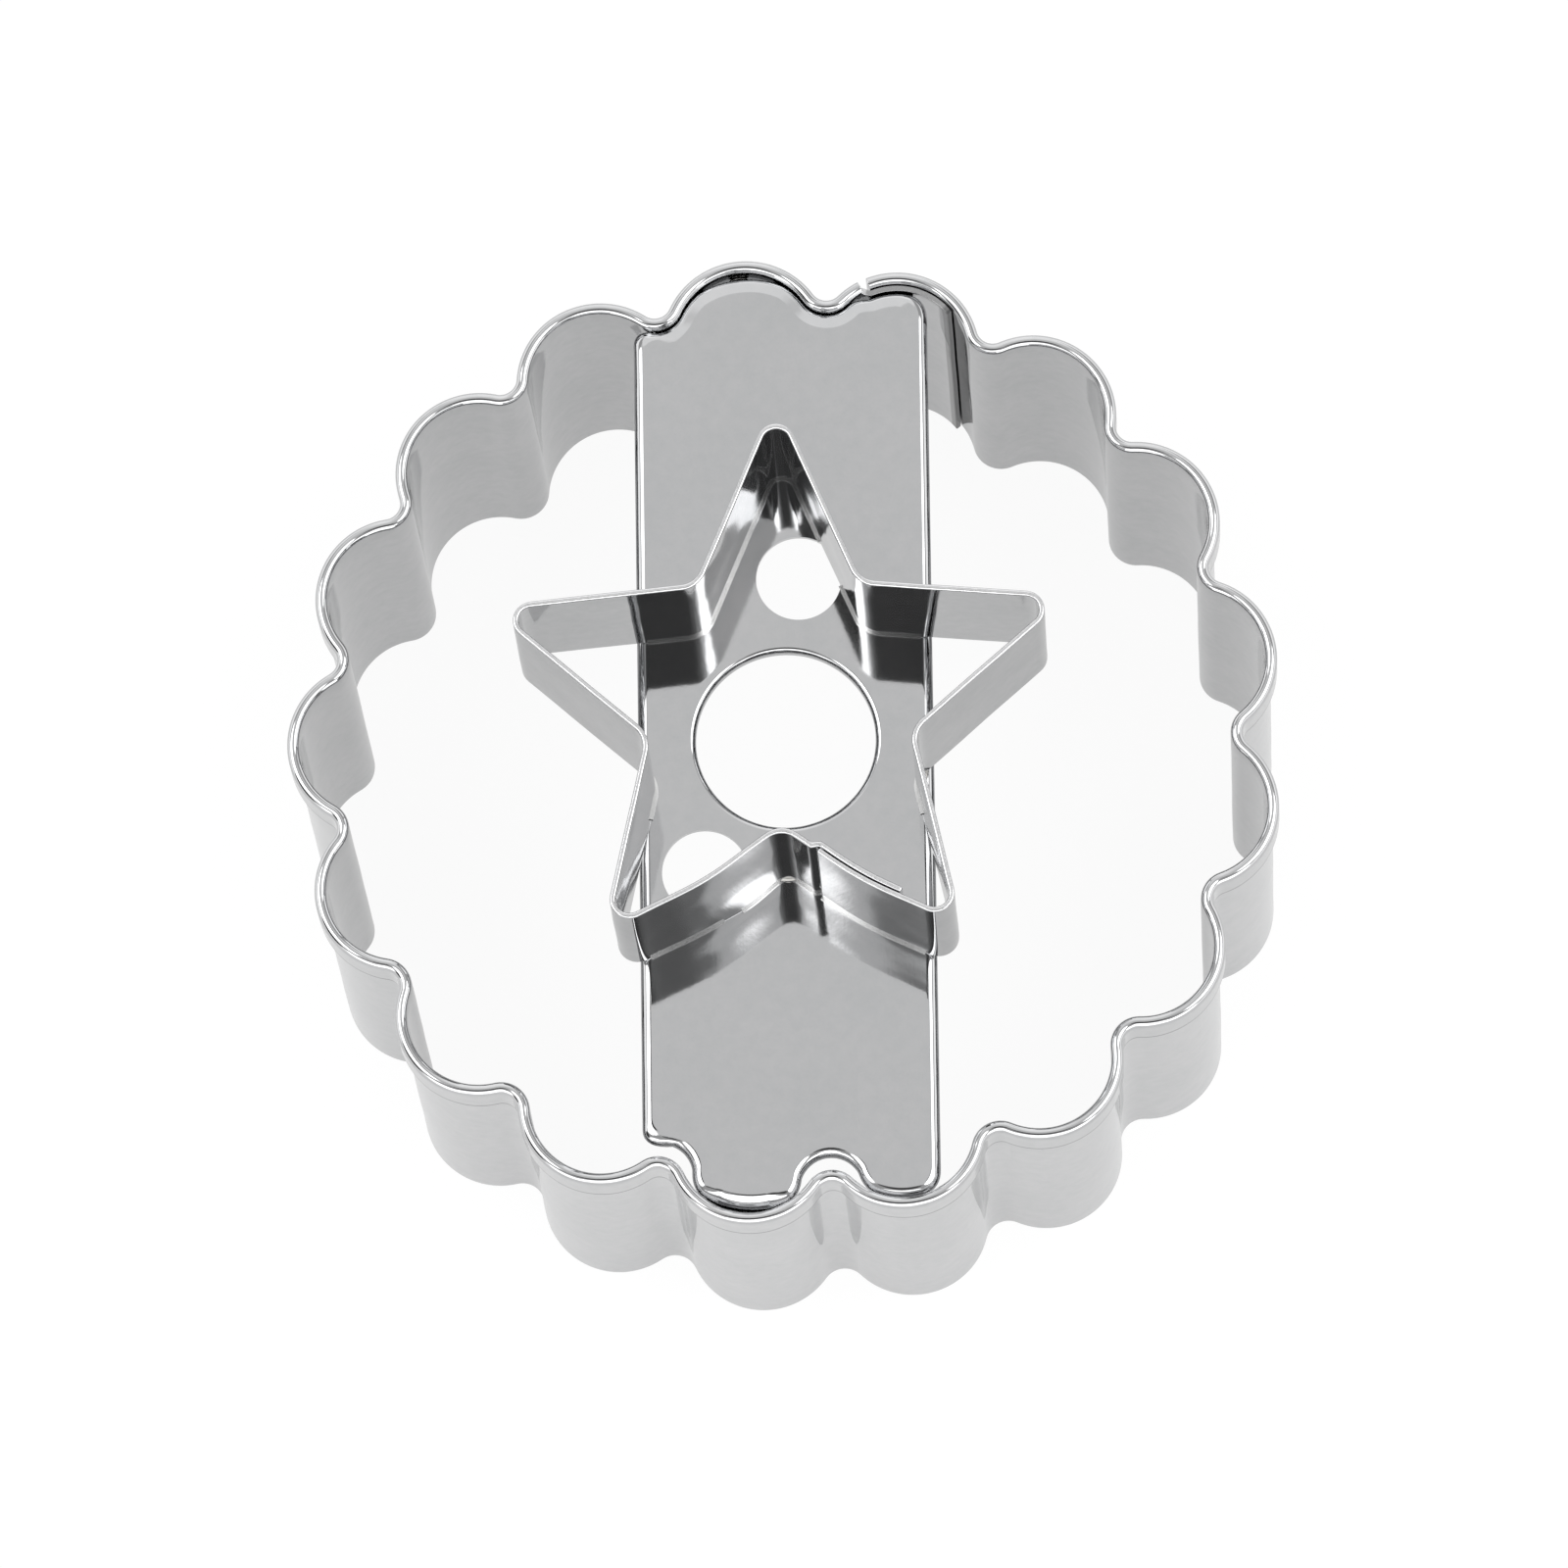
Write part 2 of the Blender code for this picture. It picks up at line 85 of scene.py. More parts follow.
# Amount of painted shade at the lap's very end, where it fades over its reach, and along the lap's top
PAINTED_SHADE_AT_END = 1.6
PAINTED_SHADE_REACH = 0.6 * MM
PAINTED_SHADE_AT_TOP = 0.55
# Amounts between which the painted shade comes to show and then to turn black, and how well it covers
PAINTED_SHADE_SHOWS = (0.35, 0.65)
PAINTED_SHADE_BLACKENS = (1.0, 1.3)
PAINTED_SHADE_COVER = 0.85
# Sizes of the marks in the polish. Real rolling lines, about 0.02 mm apart, are drawn coarser to show
ROLLING_LINES = 0.12 * MM
MOTTLE = 0.7 * MM
CLOUDS = 6.0 * MM
RELIEF_DEPTH = 0.0012 * MM
# How much of the tone is mottle and not clouds, and how strong the rolling lines are beside the mottle
MOTTLE_SHARE = 0.6
ROLLING_SHARE = 0.3
# On a bent strip the rolling lines run round the piece
ROUND_THE_PIECE = (0.06, 0.06, 1.0)
STRIP_ROUGHNESS = (0.05, 0.09)


def add_node(tree, kind, inputs=None, **settings):
    """Add a node with its settings. Inputs go by name or number and take a value, a socket or a node."""
    node = tree.nodes.new(kind)
    for name, value in settings.items():
        setattr(node, name, value)
    for place, source in (inputs or {}).items():
        if isinstance(source, bpy.types.Node):
            source = source.outputs[0]
        if isinstance(source, bpy.types.NodeSocket):
            tree.links.new(source, node.inputs[place])
        else:
            node.inputs[place].default_value = source
    return node


def linear_colour(code):
    """Linear colour of an sRGB hex code."""
    channels = [int(code[place:place + 2], 16) / 255.0 for place in (1, 3, 5)]
    return [(c / 12.92 if c <= 0.04045 else ((c + 0.055) / 1.055) ** 2.4) for c in channels] + [1.0]


def new_material(name):
    """A new material, its tree and the socket that gives places on the piece."""
    material = bpy.data.materials.new(name)
    material.use_nodes = True
    tree = material.node_tree
    return material, tree, add_node(tree, "ShaderNodeTexCoord").outputs["Object"]


def finish_metal(tree, tones, tone, gloss, height, depth):
    """Lead a pattern to the colour, the roughness and the relief of a metal."""
    shader = tree.nodes["Principled BSDF"]
    shader.inputs["Metallic"].default_value = 1.0
    colour = add_node(tree, "ShaderNodeMix", {"Factor": tone, "A": linear_colour(tones[0]),
                                              "B": linear_colour(tones[1])}, data_type="RGBA")
    bump = add_node(tree, "ShaderNodeBump", {"Height": height, "Strength": 1.0, "Distance": depth})
    tree.links.new(colour.outputs["Result"], shader.inputs["Base Color"])
    tree.links.new(gloss.outputs["Result"], shader.inputs["Roughness"])
    tree.links.new(bump.outputs["Normal"], shader.inputs["Normal"])


def polished_steel(name, tones, grain_stretch, roughness, relief=1.0):
    """Cold-rolled sheet, buffed bright: sharp reflections, a faint rolling grain and light handling marks."""
    material, tree, place = new_material(name)
    along_roll = add_node(tree, "ShaderNodeMapping", {"Vector": place, "Scale": grain_stretch})
    rolling = add_node(tree, "ShaderNodeTexNoise",
                       {"Vector": along_roll, "Scale": 1.0 / ROLLING_LINES, "Detail": 3.0, "Roughness": 0.6})
    mottle = add_node(tree, "ShaderNodeTexNoise",
                      {"Vector": place, "Scale": 1.0 / MOTTLE, "Detail": 4.0, "Roughness": 0.65})
    clouds = add_node(tree, "ShaderNodeTexNoise",
                      {"Vector": place, "Scale": 1.0 / CLOUDS, "Detail": 2.0, "Roughness": 0.5})
    tone = add_node(tree, "ShaderNodeMath", {0: mottle, 1: MOTTLE_SHARE}, operation="MULTIPLY")
    tone = add_node(tree, "ShaderNodeMath", {0: clouds, 1: 1.0 - MOTTLE_SHARE, 2: tone},
                    operation="MULTIPLY_ADD")
    # Noise lies mostly between 0.3 and 0.7, and the ranges spread it out
    spread = add_node(tree, "ShaderNodeMapRange", {"Value": tone, "From Min": 0.35, "From Max": 0.65})
    haze = add_node(tree, "ShaderNodeMapRange", {"Value": clouds, "From Min": 0.3, "From Max": 0.7,
                                                 "To Min": roughness[0], "To Max": roughness[1]})
    height = add_node(tree, "ShaderNodeMath", {0: rolling, 1: ROLLING_SHARE, 2: mottle},
                      operation="MULTIPLY_ADD")
    finish_metal(tree, tones, spread, haze, height, RELIEF_DEPTH * relief)
    return material


def unpolished_metal(name, tones, roughness, grain_size, grain_detail, grain_contrast, grain_depth):
    """Metal as it was left by the shear or the torch: one grain changes its tone, gloss and relief."""
    material, tree, place = new_material(name)
    grain = add_node(tree, "ShaderNodeTexNoise", {"Vector": place, "Scale": 1.0 / grain_size,
                                                  "Detail": grain_detail, "Roughness": grain_contrast})
    dull = add_node(tree, "ShaderNodeMapRange",
                    {"Value": grain, "To Min": roughness[0], "To Max": roughness[1]})
    finish_metal(tree, tones, grain, dull, grain, grain_depth)
    return material


def add_painted_shade(material):
    """Painted shade for gaps and edges that lie in shade: grey where the attribute is up to 1, black above
    it.
    """
    tree = material.node_tree
    base = tree.nodes["Principled BSDF"].inputs["Base Color"]
    unshaded_colour = base.links[0].from_socket
    painted_shade = add_node(tree, "ShaderNodeAttribute", attribute_name="painted_shade").outputs["Fac"]
    thin = add_node(tree, "ShaderNodeMapRange", {"Value": painted_shade, "From Min": PAINTED_SHADE_SHOWS[0],
                                                 "From Max": PAINTED_SHADE_SHOWS[1], "To Max": PAINTED_SHADE_COVER})
    thick = add_node(tree, "ShaderNodeMapRange",
                     {"Value": painted_shade, "From Min": PAINTED_SHADE_BLACKENS[0], "From Max": PAINTED_SHADE_BLACKENS[1]})
    shade_tone = add_node(tree, "ShaderNodeMix", {"Factor": thick, "A": linear_colour("#6A6A6A"),
                                            "B": linear_colour("#141414")}, data_type="RGBA")
    shaded_colour = add_node(tree, "ShaderNodeMix", {"Factor": thin, "A": unshaded_colour,
                                                     "B": shade_tone.outputs["Result"]}, data_type="RGBA")
    tree.links.new(shaded_colour.outputs["Result"], base)


def fluted_shape(count, crest_radius, valley_radius, crest_bend, valley_bend):
    """Sizes of an outline of rounded crests and valleys with straight flanks between them."""
    half_step = math.pi / count
    crest_centre = crest_radius - crest_bend
    valley_centre = valley_radius + valley_bend
    across = valley_centre * math.sin(half_step)
    outwards = valley_centre * math.cos(half_step) - crest_centre
    distance = math.hypot(outwards, across)
    reach = min((crest_bend + valley_bend) / distance, 1.0)
    flank = math.atan2(across, outwards) - math.acos(reach)
    flank_length = distance * math.sqrt(1.0 - reach * reach)
    crest_arc = crest_bend * flank
    valley_arc = valley_bend * (flank - half_step)
    return {
        "count": count, "crest_centre": crest_centre, "valley_centre": valley_centre, "flank": flank,
        "crest_bend": crest_bend, "valley_bend": valley_bend, "crest_arc": crest_arc,
        "flank_length": flank_length, "pitch": 2.0 * (crest_arc + flank_length + valley_arc),
        "sharp_crest": crest_centre + crest_bend / math.cos(flank),
        "sharp_valley": valley_centre - valley_bend / math.cos(flank - half_step),
    }


def strip_tree():
    """Node tree of a strip that follows a fluted outline, with an optional fold and hem and a stepped lap."""
    tree = bpy.data.node_groups.new("bent strip", "GeometryNodeTree")
    named = {
        "NodeSocketInt": ("Bends", "Columns", "Rows", "Seed"),
        "NodeSocketFloat": ("Sharp Crest", "Sharp Valley", "Crest Bend", "Valley Bend", "Crest Arc",
                            "First Angle", "Start Turn", "End Turn", "Wall Rows", "Fold Rows", "Foot",
                            "Wall Height", "Fold Radius", "Hem Length", "Hem Start", "Joggle Start",
                            "Joggle End", "Offset Before", "Offset After", "Waviness", "Wave Length", "Bow",
                            "Bow Start", "Bow End", "Flare", "Flare Turn", "Flare Reach", "Flare Height",
                            "Painted Shade", "Painted Shade End"),
        "NodeSocketMaterial": ("Material",),
    }
    tree.interface.new_socket("Geometry", in_out="OUTPUT", socket_type="NodeSocketGeometry")
    for kind, names in named.items():
        for name in names:
            tree.interface.new_socket(name, in_out="INPUT", socket_type=kind)
    sizes = {socket.name: socket for socket in add_node(tree, "NodeGroupInput").outputs}
    # The outline, as a star whose points are rounded off
    star = add_node(tree, "GeometryNodeCurveStar",
                    {"Points": sizes["Bends"], "Inner Radius": sizes["Sharp Valley"],
                     "Outer Radius": sizes["Sharp Crest"]})
    bend = add_node(tree, "GeometryNodeSwitch", {"Switch": star.outputs["Outer Points"],
                                                 "False": sizes["Valley Bend"], "True": sizes["Crest Bend"]},
                    input_type="FLOAT")
    outline = add_node(tree, "GeometryNodeFilletCurve",
                       {"Curve": star, "Radius": bend, "Count": FILLET_STEPS}, mode="POLY")
    # Each point of a grid belongs to a column along the strip and a row up its section
    grid = add_node(tree, "GeometryNodeMeshGrid",
                    {"Vertices X": sizes["Columns"], "Vertices Y": sizes["Rows"]})
    index = add_node(tree, "GeometryNodeInputIndex")
    share = add_node(tree, "ShaderNodeMath", {0: index, 1: sizes["Rows"]}, operation="DIVIDE")
    column = add_node(tree, "ShaderNodeMath", {0: share}, operation="FLOOR")
    row = add_node(tree, "ShaderNodeMath", {0: index, 1: sizes["Rows"]}, operation="MODULO")
    last_column = add_node(tree, "ShaderNodeMath", {0: sizes["Columns"], 1: 1.0}, operation="SUBTRACT")
    last_row = add_node(tree, "ShaderNodeMath", {0: sizes["Rows"], 1: 1.0}, operation="SUBTRACT")
    turn = add_node(tree, "ShaderNodeMapRange", {"Value": column, "From Max": last_column,
                                                 "To Min": sizes["Start Turn"], "To Max": sizes["End Turn"]})
    # Where the column stands on the outline, and which way is out
    length = add_node(tree, "GeometryNodeCurveLength", {"Curve": outline})
    first = add_node(tree, "ShaderNodeMath", {0: sizes["Crest Arc"], 1: length}, operation="DIVIDE")
    around = add_node(tree, "ShaderNodeMath", {0: turn, 1: sizes["Bends"]}, operation="DIVIDE")
    around = add_node(tree, "ShaderNodeMath", {0: around, 1: first}, operation="ADD")
    around = add_node(tree, "ShaderNodeMath", {0: around}, operation="FRACT")
    sample = add_node(tree, "GeometryNodeSampleCurve", {"Curves": outline, "Factor": around}, mode="FACTOR")
    out = add_node(tree, "ShaderNodeVectorMath", {0: sample.outputs["Tangent"], 1: (0.0, 0.0, 1.0)},
                   operation="CROSS_PRODUCT")
    out = add_node(tree, "ShaderNodeVectorMath", {0: out}, operation="NORMALIZE")
    # The section: wall, fold and hem
    wall = add_node(tree, "ShaderNodeMapRange", {"Value": row, "From Max": sizes["Wall Rows"],
                                                 "To Max": sizes["Wall Height"]})
    fold_end = add_node(tree, "ShaderNodeMath", {0: sizes["Wall Rows"], 1: sizes["Fold Rows"]},
                        operation="ADD")
    fold = add_node(tree, "ShaderNodeMapRange", {"Value": row, "From Min": sizes["Wall Rows"],
                                                 "From Max": fold_end, "To Max": math.pi})
    ragged = add_node(tree, "ShaderNodeTexNoise", {"W": turn, "Scale": HEM_WAVES, "Detail": 2.0},
                      noise_dimensions="1D")
    ragged = add_node(tree, "ShaderNodeMapRange", {"Value": ragged, "From Min": 0.3, "From Max": 0.7,
                                                   "To Min": HEM_SHORTEST, "To Max": 1.0})
    hem_length = add_node(tree, "ShaderNodeMath", {0: sizes["Hem Length"], 1: ragged}, operation="MULTIPLY")
    hem = add_node(tree, "ShaderNodeMapRange", {"Value": row, "From Min": fold_end, "From Max": last_row,
                                                "To Max": hem_length})
    rise = add_node(tree, "ShaderNodeMath", {0: fold}, operation="SINE")
    rise = add_node(tree, "ShaderNodeMath", {0: rise, 1: sizes["Fold Radius"], 2: wall},
                    operation="MULTIPLY_ADD")
    height = add_node(tree, "ShaderNodeMath", {0: rise, 1: hem}, operation="SUBTRACT")
    height = add_node(tree, "ShaderNodeMath", {0: height, 1: sizes["Foot"]}, operation="ADD")
    outward = add_node(tree, "ShaderNodeMath", {0: fold}, operation="COSINE")
    outward = add_node(tree, "ShaderNodeMath", {0: 1.0, 1: outward}, operation="SUBTRACT")
    outward = add_node(tree, "ShaderNodeMath", {0: outward, 1: sizes["Fold Radius"]}, operation="MULTIPLY")
    # The lap's step, and the slight waviness that bending leaves in thin sheet
    lap = add_node(tree, "ShaderNodeMapRange",
                   {"Value": turn, "From Min": sizes["Joggle Start"], "From Max": sizes["Joggle End"],
                    "To Min": sizes["Offset Before"], "To Max": sizes["Offset After"]},
                   interpolation_type="SMOOTHSTEP")
    lift = add_node(tree, "ShaderNodeCombineXYZ", {"Z": height})
    spot = add_node(tree, "ShaderNodeVectorMath", {0: sample.outputs["Position"], 1: lift}, operation="ADD")
    wave_scale = add_node(tree, "ShaderNodeMath", {0: 1.0, 1: sizes["Wave Length"]}, operation="DIVIDE")
    waves = add_node(tree, "ShaderNodeTexNoise", {"Vector": spot, "W": sizes["Seed"], "Scale": wave_scale,
                                                  "Detail": 0.0}, noise_dimensions="4D")
    waves = add_node(tree, "ShaderNodeMapRange", {"Value": waves, "From Min": 0.25, "From Max": 0.75,
                                                  "To Min": -1.0, "To Max": 1.0}, clamp=False)
    waves = add_node(tree, "ShaderNodeMath", {0: waves, 1: sizes["Waviness"], 2: lap},
                     operation="MULTIPLY_ADD")
    # Two neighbouring flanks can be bowed out, and a stretch of the foot flared out
    phase = add_node(tree, "ShaderNodeMath", {0: turn, 1: sizes["Bends"]}, operation="FLOORED_MODULO")
    bowed = add_node(tree, "ShaderNodeMapRange", {"Value": phase, "From Min": sizes["Bow Start"],
                                                  "From Max": sizes["Bow End"], "To Max": 4.0 * math.pi})
    bowed = add_node(tree, "ShaderNodeMath", {0: bowed}, operation="COSINE")
    bowed = add_node(tree, "ShaderNodeMath", {0: bowed, 1: -0.5, 2: 0.5}, operation="MULTIPLY_ADD")
    waves = add_node(tree, "ShaderNodeMath", {0: bowed, 1: sizes["Bow"], 2: waves}, operation="MULTIPLY_ADD")
    reach = add_node(tree, "ShaderNodeMath", {0: phase, 1: sizes["Flare Turn"]}, operation="SUBTRACT")
    reach = add_node(tree, "ShaderNodeMath", {0: reach, 1: sizes["Flare Reach"]}, operation="DIVIDE")
    reach = add_node(tree, "ShaderNodeMath", {0: reach, 1: reach}, operation="MULTIPLY")
    reach = add_node(tree, "ShaderNodeMath", {0: reach, 1: -1.0}, operation="MULTIPLY")
    reach = add_node(tree, "ShaderNodeMath", {0: reach}, operation="EXPONENT")
    low = add_node(tree, "ShaderNodeMapRange", {"Value": wall, "From Max": sizes["Flare Height"],
                                                "To Min": sizes["Flare"], "To Max": 0.0})
    waves = add_node(tree, "ShaderNodeMath", {0: reach, 1: low, 2: waves}, operation="MULTIPLY_ADD")
    offset = add_node(tree, "ShaderNodeMath", {0: waves, 1: outward}, operation="ADD")
    moved = add_node(tree, "ShaderNodeVectorMath", {0: out, "Scale": offset}, operation="SCALE")
    moved = add_node(tree, "ShaderNodeVectorMath", {0: spot, 1: moved}, operation="ADD")
    # The lapped inner end has no hem: its points above the wall go
    bare = add_node(tree, "ShaderNodeMath", {0: turn, 1: sizes["Hem Start"]}, operation="LESS_THAN")
    above = add_node(tree, "ShaderNodeMath", {0: row, 1: sizes["Wall Rows"]}, operation="GREATER_THAN")
    cut = add_node(tree, "ShaderNodeMath", {0: bare, 1: above}, operation="MULTIPLY")
    sheet = add_node(tree, "GeometryNodeSetPosition", {"Geometry": grid, "Position": moved})
    # Painted shade lies along the hem's lower edge, in the amount 1, and at the edges of the inner end
    next_to_last = add_node(tree, "ShaderNodeMath", {0: last_row, 1: 1.0}, operation="SUBTRACT")
    hem_foot = add_node(tree, "ShaderNodeMapRange",
                        {"Value": row, "From Min": next_to_last, "From Max": last_row})
    lap_end = add_node(tree, "ShaderNodeMapRange",
                       {"Value": turn, "From Min": sizes["Start Turn"], "From Max": sizes["Painted Shade End"],
                        "To Min": PAINTED_SHADE_AT_END, "To Max": 0.0})
    top = add_node(tree, "ShaderNodeMath", {0: row, 1: sizes["Wall Rows"], 2: 0.5}, operation="COMPARE")
    bare_top = add_node(tree, "ShaderNodeMath", {0: bare, 1: top}, operation="MULTIPLY")
    bare_top = add_node(tree, "ShaderNodeMath", {0: bare_top, 1: PAINTED_SHADE_AT_TOP}, operation="MULTIPLY")
    painted_shade = add_node(tree, "ShaderNodeMath", {0: hem_foot, 1: lap_end}, operation="MAXIMUM")
    painted_shade = add_node(tree, "ShaderNodeMath", {0: painted_shade, 1: bare_top}, operation="MAXIMUM")
    painted_shade = add_node(tree, "ShaderNodeMath", {0: painted_shade, 1: sizes["Painted Shade"]}, operation="MULTIPLY")
    for name, value in (("painted_shade", painted_shade), ("trim", cut)):
        sheet = add_node(tree, "GeometryNodeStoreNamedAttribute",
                         {"Geometry": sheet, "Name": name, "Value": value})
    trim = add_node(tree, "GeometryNodeInputNamedAttribute", {"Name": "trim"})
    trimmed = add_node(tree, "GeometryNodeDeleteGeometry", {"Geometry": sheet, "Selection": trim})
    turned = add_node(tree, "ShaderNodeCombineXYZ", {"Z": sizes["First Angle"]})
    placed = add_node(tree, "GeometryNodeTransform", {"Geometry": trimmed, "Rotation": turned})
    smooth = add_node(tree, "GeometryNodeSetShadeSmooth", {"Geometry": placed})
    real = add_node(tree, "GeometryNodeRealizeInstances", {"Geometry": smooth})
    finished = add_node(tree, "GeometryNodeSetMaterial", {"Geometry": real, "Material": sizes["Material"]})
    add_node(tree, "NodeGroupOutput", {0: finished})
    return tree


def make_strip(name, tree, values):
    """Run the strip tree with the named values and keep its result as a plain mesh at the origin."""
    strip = bpy.data.objects.new(name, bpy.data.meshes.new(name + " start"))
    bpy.context.collection.objects.link(strip)
    modifier = strip.modifiers.new("bent strip", "NODES")
    modifier.node_group = tree
    for item in tree.interface.items_tree:
        if item.in_out == "INPUT":
            modifier[item.identifier] = values[item.name]
    evaluated = strip.evaluated_get(bpy.context.evaluated_depsgraph_get())
    mesh = bpy.data.meshes.new_from_object(evaluated)
    strip.modifiers.clear()
    strip.data = mesh
    mesh.name = name
    return strip


def give_thickness(piece, thickness, edge_material, edge_round, round_steps=3):
    """Turn a middle surface into sheet metal whose sheared edges are slightly rounded."""
    piece.data.materials.append(edge_material)
    wall = piece.modifiers.new("sheet thickness", "SOLIDIFY")
    wall.thickness = thickness
    wall.offset = 0.0
    wall.use_even_offset = True
    wall.use_quality_normals = True
    wall.material_offset_rim = 1
    round_off = piece.modifiers.new("edge rounding", "BEVEL")
    round_off.width = edge_round
    round_off.segments = round_steps
    round_off.limit_method = "ANGLE"
    round_off.angle_limit = math.radians(60.0)
    round_off.harden_normals = True


def steel_piece(piece, *nodes, slot="polished_sheet_steel"):
    """A finished piece rides on the one body and stands for its CAD nodes. The slot is not used."""
    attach(piece, "root")
    if nodes:
        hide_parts(*nodes)


# The middle of the wall lies one and a half sheets and the gap inside the hem's outer face
crest_radius = RING_DIAMETER / 2.0 - 1.5 * RING_SHEET - HEM_GAP
valley_radius = crest_radius - SCALLOP_DEPTH
valley_middle = valley_radius + VALLEY_BEND
half_step_cosine = math.cos(math.pi / SCALLOPS)
crest_bend = ((valley_middle ** 2 + crest_radius ** 2 - 2.0 * valley_middle * crest_radius * half_step_cosine
               - VALLEY_BEND ** 2) / (2.0 * (VALLEY_BEND + crest_radius - valley_middle * half_step_cosine)))
ring_shape = fluted_shape(SCALLOPS, crest_radius, valley_radius, crest_bend, VALLEY_BEND)
ring_turn = 1.0 / ring_shape["pitch"]
fold_radius = (RING_SHEET + HEM_GAP) / 2.0
fold_height = RING_HEIGHT - RING_SHEET / 2.0 - fold_radius
ring_outer_end = RING_LAP_MIDDLE + RING_LAP_LENGTH / 2.0 * ring_turn
ring_inner_end = RING_LAP_MIDDLE - RING_LAP_LENGTH / 2.0 * ring_turn
ring_joggle_start = ring_outer_end + JOGGLE_CLEARANCE * ring_turn
ring_joggle_end = ring_joggle_start + JOGGLE_LENGTH * ring_turn

# Polished stainless: cool pale grey, mirror-like, with the rolling grain running round the ring
ring_steel = polished_steel("buffed stainless strip, ring", ("#C4C5C6", "#CECECF"), ROUND_THE_PIECE,
                            STRIP_ROUGHNESS)
# Edge of the sheet where it was sheared and tumbled smooth: brighter and duller than the faces
edge_steel = unpolished_metal("sheared stainless edge", ("#C9C9CA", "#EFEFF0"), roughness=(0.12, 0.28),
                              grain_size=0.15 * MM, grain_detail=3.0, grain_contrast=0.7,
                              grain_depth=0.002 * MM)
# Painted shade on the ring's faces and edges: a dark line under the hem and darkness at the lap's inner end
add_painted_shade(ring_steel)
add_painted_shade(edge_steel)
bent_strip = strip_tree()
ring = make_strip("scalloped_ring", bent_strip, {
    "Bends": SCALLOPS, "Columns": round((SCALLOPS + ring_outer_end - ring_inner_end) * COLUMNS_PER_SCALLOP),
    "Rows": RING_WALL_ROWS + FOLD_ROWS + HEM_ROWS + 1, "Seed": 3,
    "Sharp Crest": ring_shape["sharp_crest"], "Sharp Valley": ring_shape["sharp_valley"],
    "Crest Bend": BEND_SHARE * crest_bend, "Valley Bend": BEND_SHARE * VALLEY_BEND,
    "Crest Arc": ring_shape["crest_arc"], "First Angle": math.radians(FIRST_CREST_ANGLE),
    "Start Turn": ring_inner_end, "End Turn": ring_outer_end + SCALLOPS,
    "Wall Rows": float(RING_WALL_ROWS), "Fold Rows": float(FOLD_ROWS), "Foot": 0.0,
    "Wall Height": fold_height, "Fold Radius": fold_radius,
    "Hem Length": HEM_WIDTH - RING_SHEET / 2.0 - fold_radius,
    "Hem Start": ring_outer_end + HEM_END_GAP * ring_turn,
    "Joggle Start": ring_joggle_start, "Joggle End": ring_joggle_end,
    "Offset Before": -2.0 * fold_radius, "Offset After": 0.0,
    "Waviness": RING_WAVINESS, "Wave Length": RING_WAVE_LENGTH, "Material": ring_steel,
    "Bow": 0.0, "Bow Start": 0.0, "Bow End": 1.0,
    "Flare": 0.0, "Flare Turn": 0.0, "Flare Reach": 1.0, "Flare Height": 1.0,
    "Painted Shade": 1.0, "Painted Shade End": ring_inner_end + PAINTED_SHADE_REACH * ring_turn,
})
give_thickness(ring, RING_SHEET, edge_steel, EDGE_ROUND)
steel_piece(ring, "outer_ring")


# Bridge plate
# A pressed plate across the ring, just below its hemmed edge, with rounded edges. Its back end turns down
# inside the ring all along, its front end only in two tabs at the crests; its holes let dough be pushed out.

PLATE_WIDTH = 14.8 * MM
PLATE_SHEET = 0.3 * MM
PLATE_DROP = 0.4 * MM
PLATE_BEND = 0.5 * MM
TIGHT_BEND = 0.3 * MM
RIM_LEAD = 0.45 * MM
BACK_SLOPE = 0.077
# Crests are counted anticlockwise from the one at the back
CHAMFERED_CREST = 8
PLATE_CORNER = 0.8 * MM
# Gap between the plate and the ring, and the wider one at one crest of each end
PLATE_TO_RING = 0.04 * MM
WIDE_GAP = 0.22 * MM
WIDE_GAP_CRESTS = (0, 8)
PLATE_STEP_LENGTH = 1.2 * MM
END_FLANGE_DEPTH = 2.4 * MM
FRONT_TAB_WIDTH = 4.4 * MM
FRONT_RELIEF = 0.7 * MM
CENTRE_HOLE_DIAMETER = 9.0 * MM
CENTRE_HOLE_LIP_DEPTH = 0.6 * MM
SMALL_HOLE_DIAMETER = 4.3 * MM
BACK_HOLE_DIRECTION = 84.7
BACK_HOLE_WEB = 1.7 * MM
FRONT_HOLE_WEB = 1.25 * MM
FRONT_HOLE_EDGE = 1.13 * MM
# Sections of the plate's rim in rows of inset and height, from the flat to the foot of the bend. A lead comes
# before each bend, in these shares of RIM_LEAD, and the left front tab is chamfered by the press
LEAD_SHARES = (1.0, 0.85, 0.15)
TAB_CHAMFER_MM = ((0.8, 0.0), (0.57, 0.0), (0.55, -0.006), (0.5, -0.035), (0.3, -0.15), (0.24, -0.19),
                  (0.19, -0.23), (0.15, -0.27), (0.11, -0.32), (0.07, -0.38), (0.03, -0.44), (0.0, -0.5))
# The flat is not quite even: it swells by this much over this length
SWELL = 0.02 * MM
SWELL_LENGTH = 7.0 * MM
PLATE_GRID = 0.4 * MM
GRID_MARGIN = 0.6 * PLATE_GRID
MERGE_DISTANCE = 1e-7
PLATE_BEND_ROWS = 8
PLATE_END_STEPS = 110
PLATE_SIDE_STEPS = 70
PLATE_CORNER_STEPS = 8
CORNER_HALVINGS = 40
CENTRE_HOLE_STEPS = 120
SMALL_HOLE_STEPS = 72
SECTION_EASING = 4
FLANGE_ROWS = 4

plate_top = RING_HEIGHT - PLATE_DROP
plate_middle = plate_top - PLATE_SHEET / 2.0


def direction(angle):
    return Vector((math.cos(angle), math.sin(angle)))


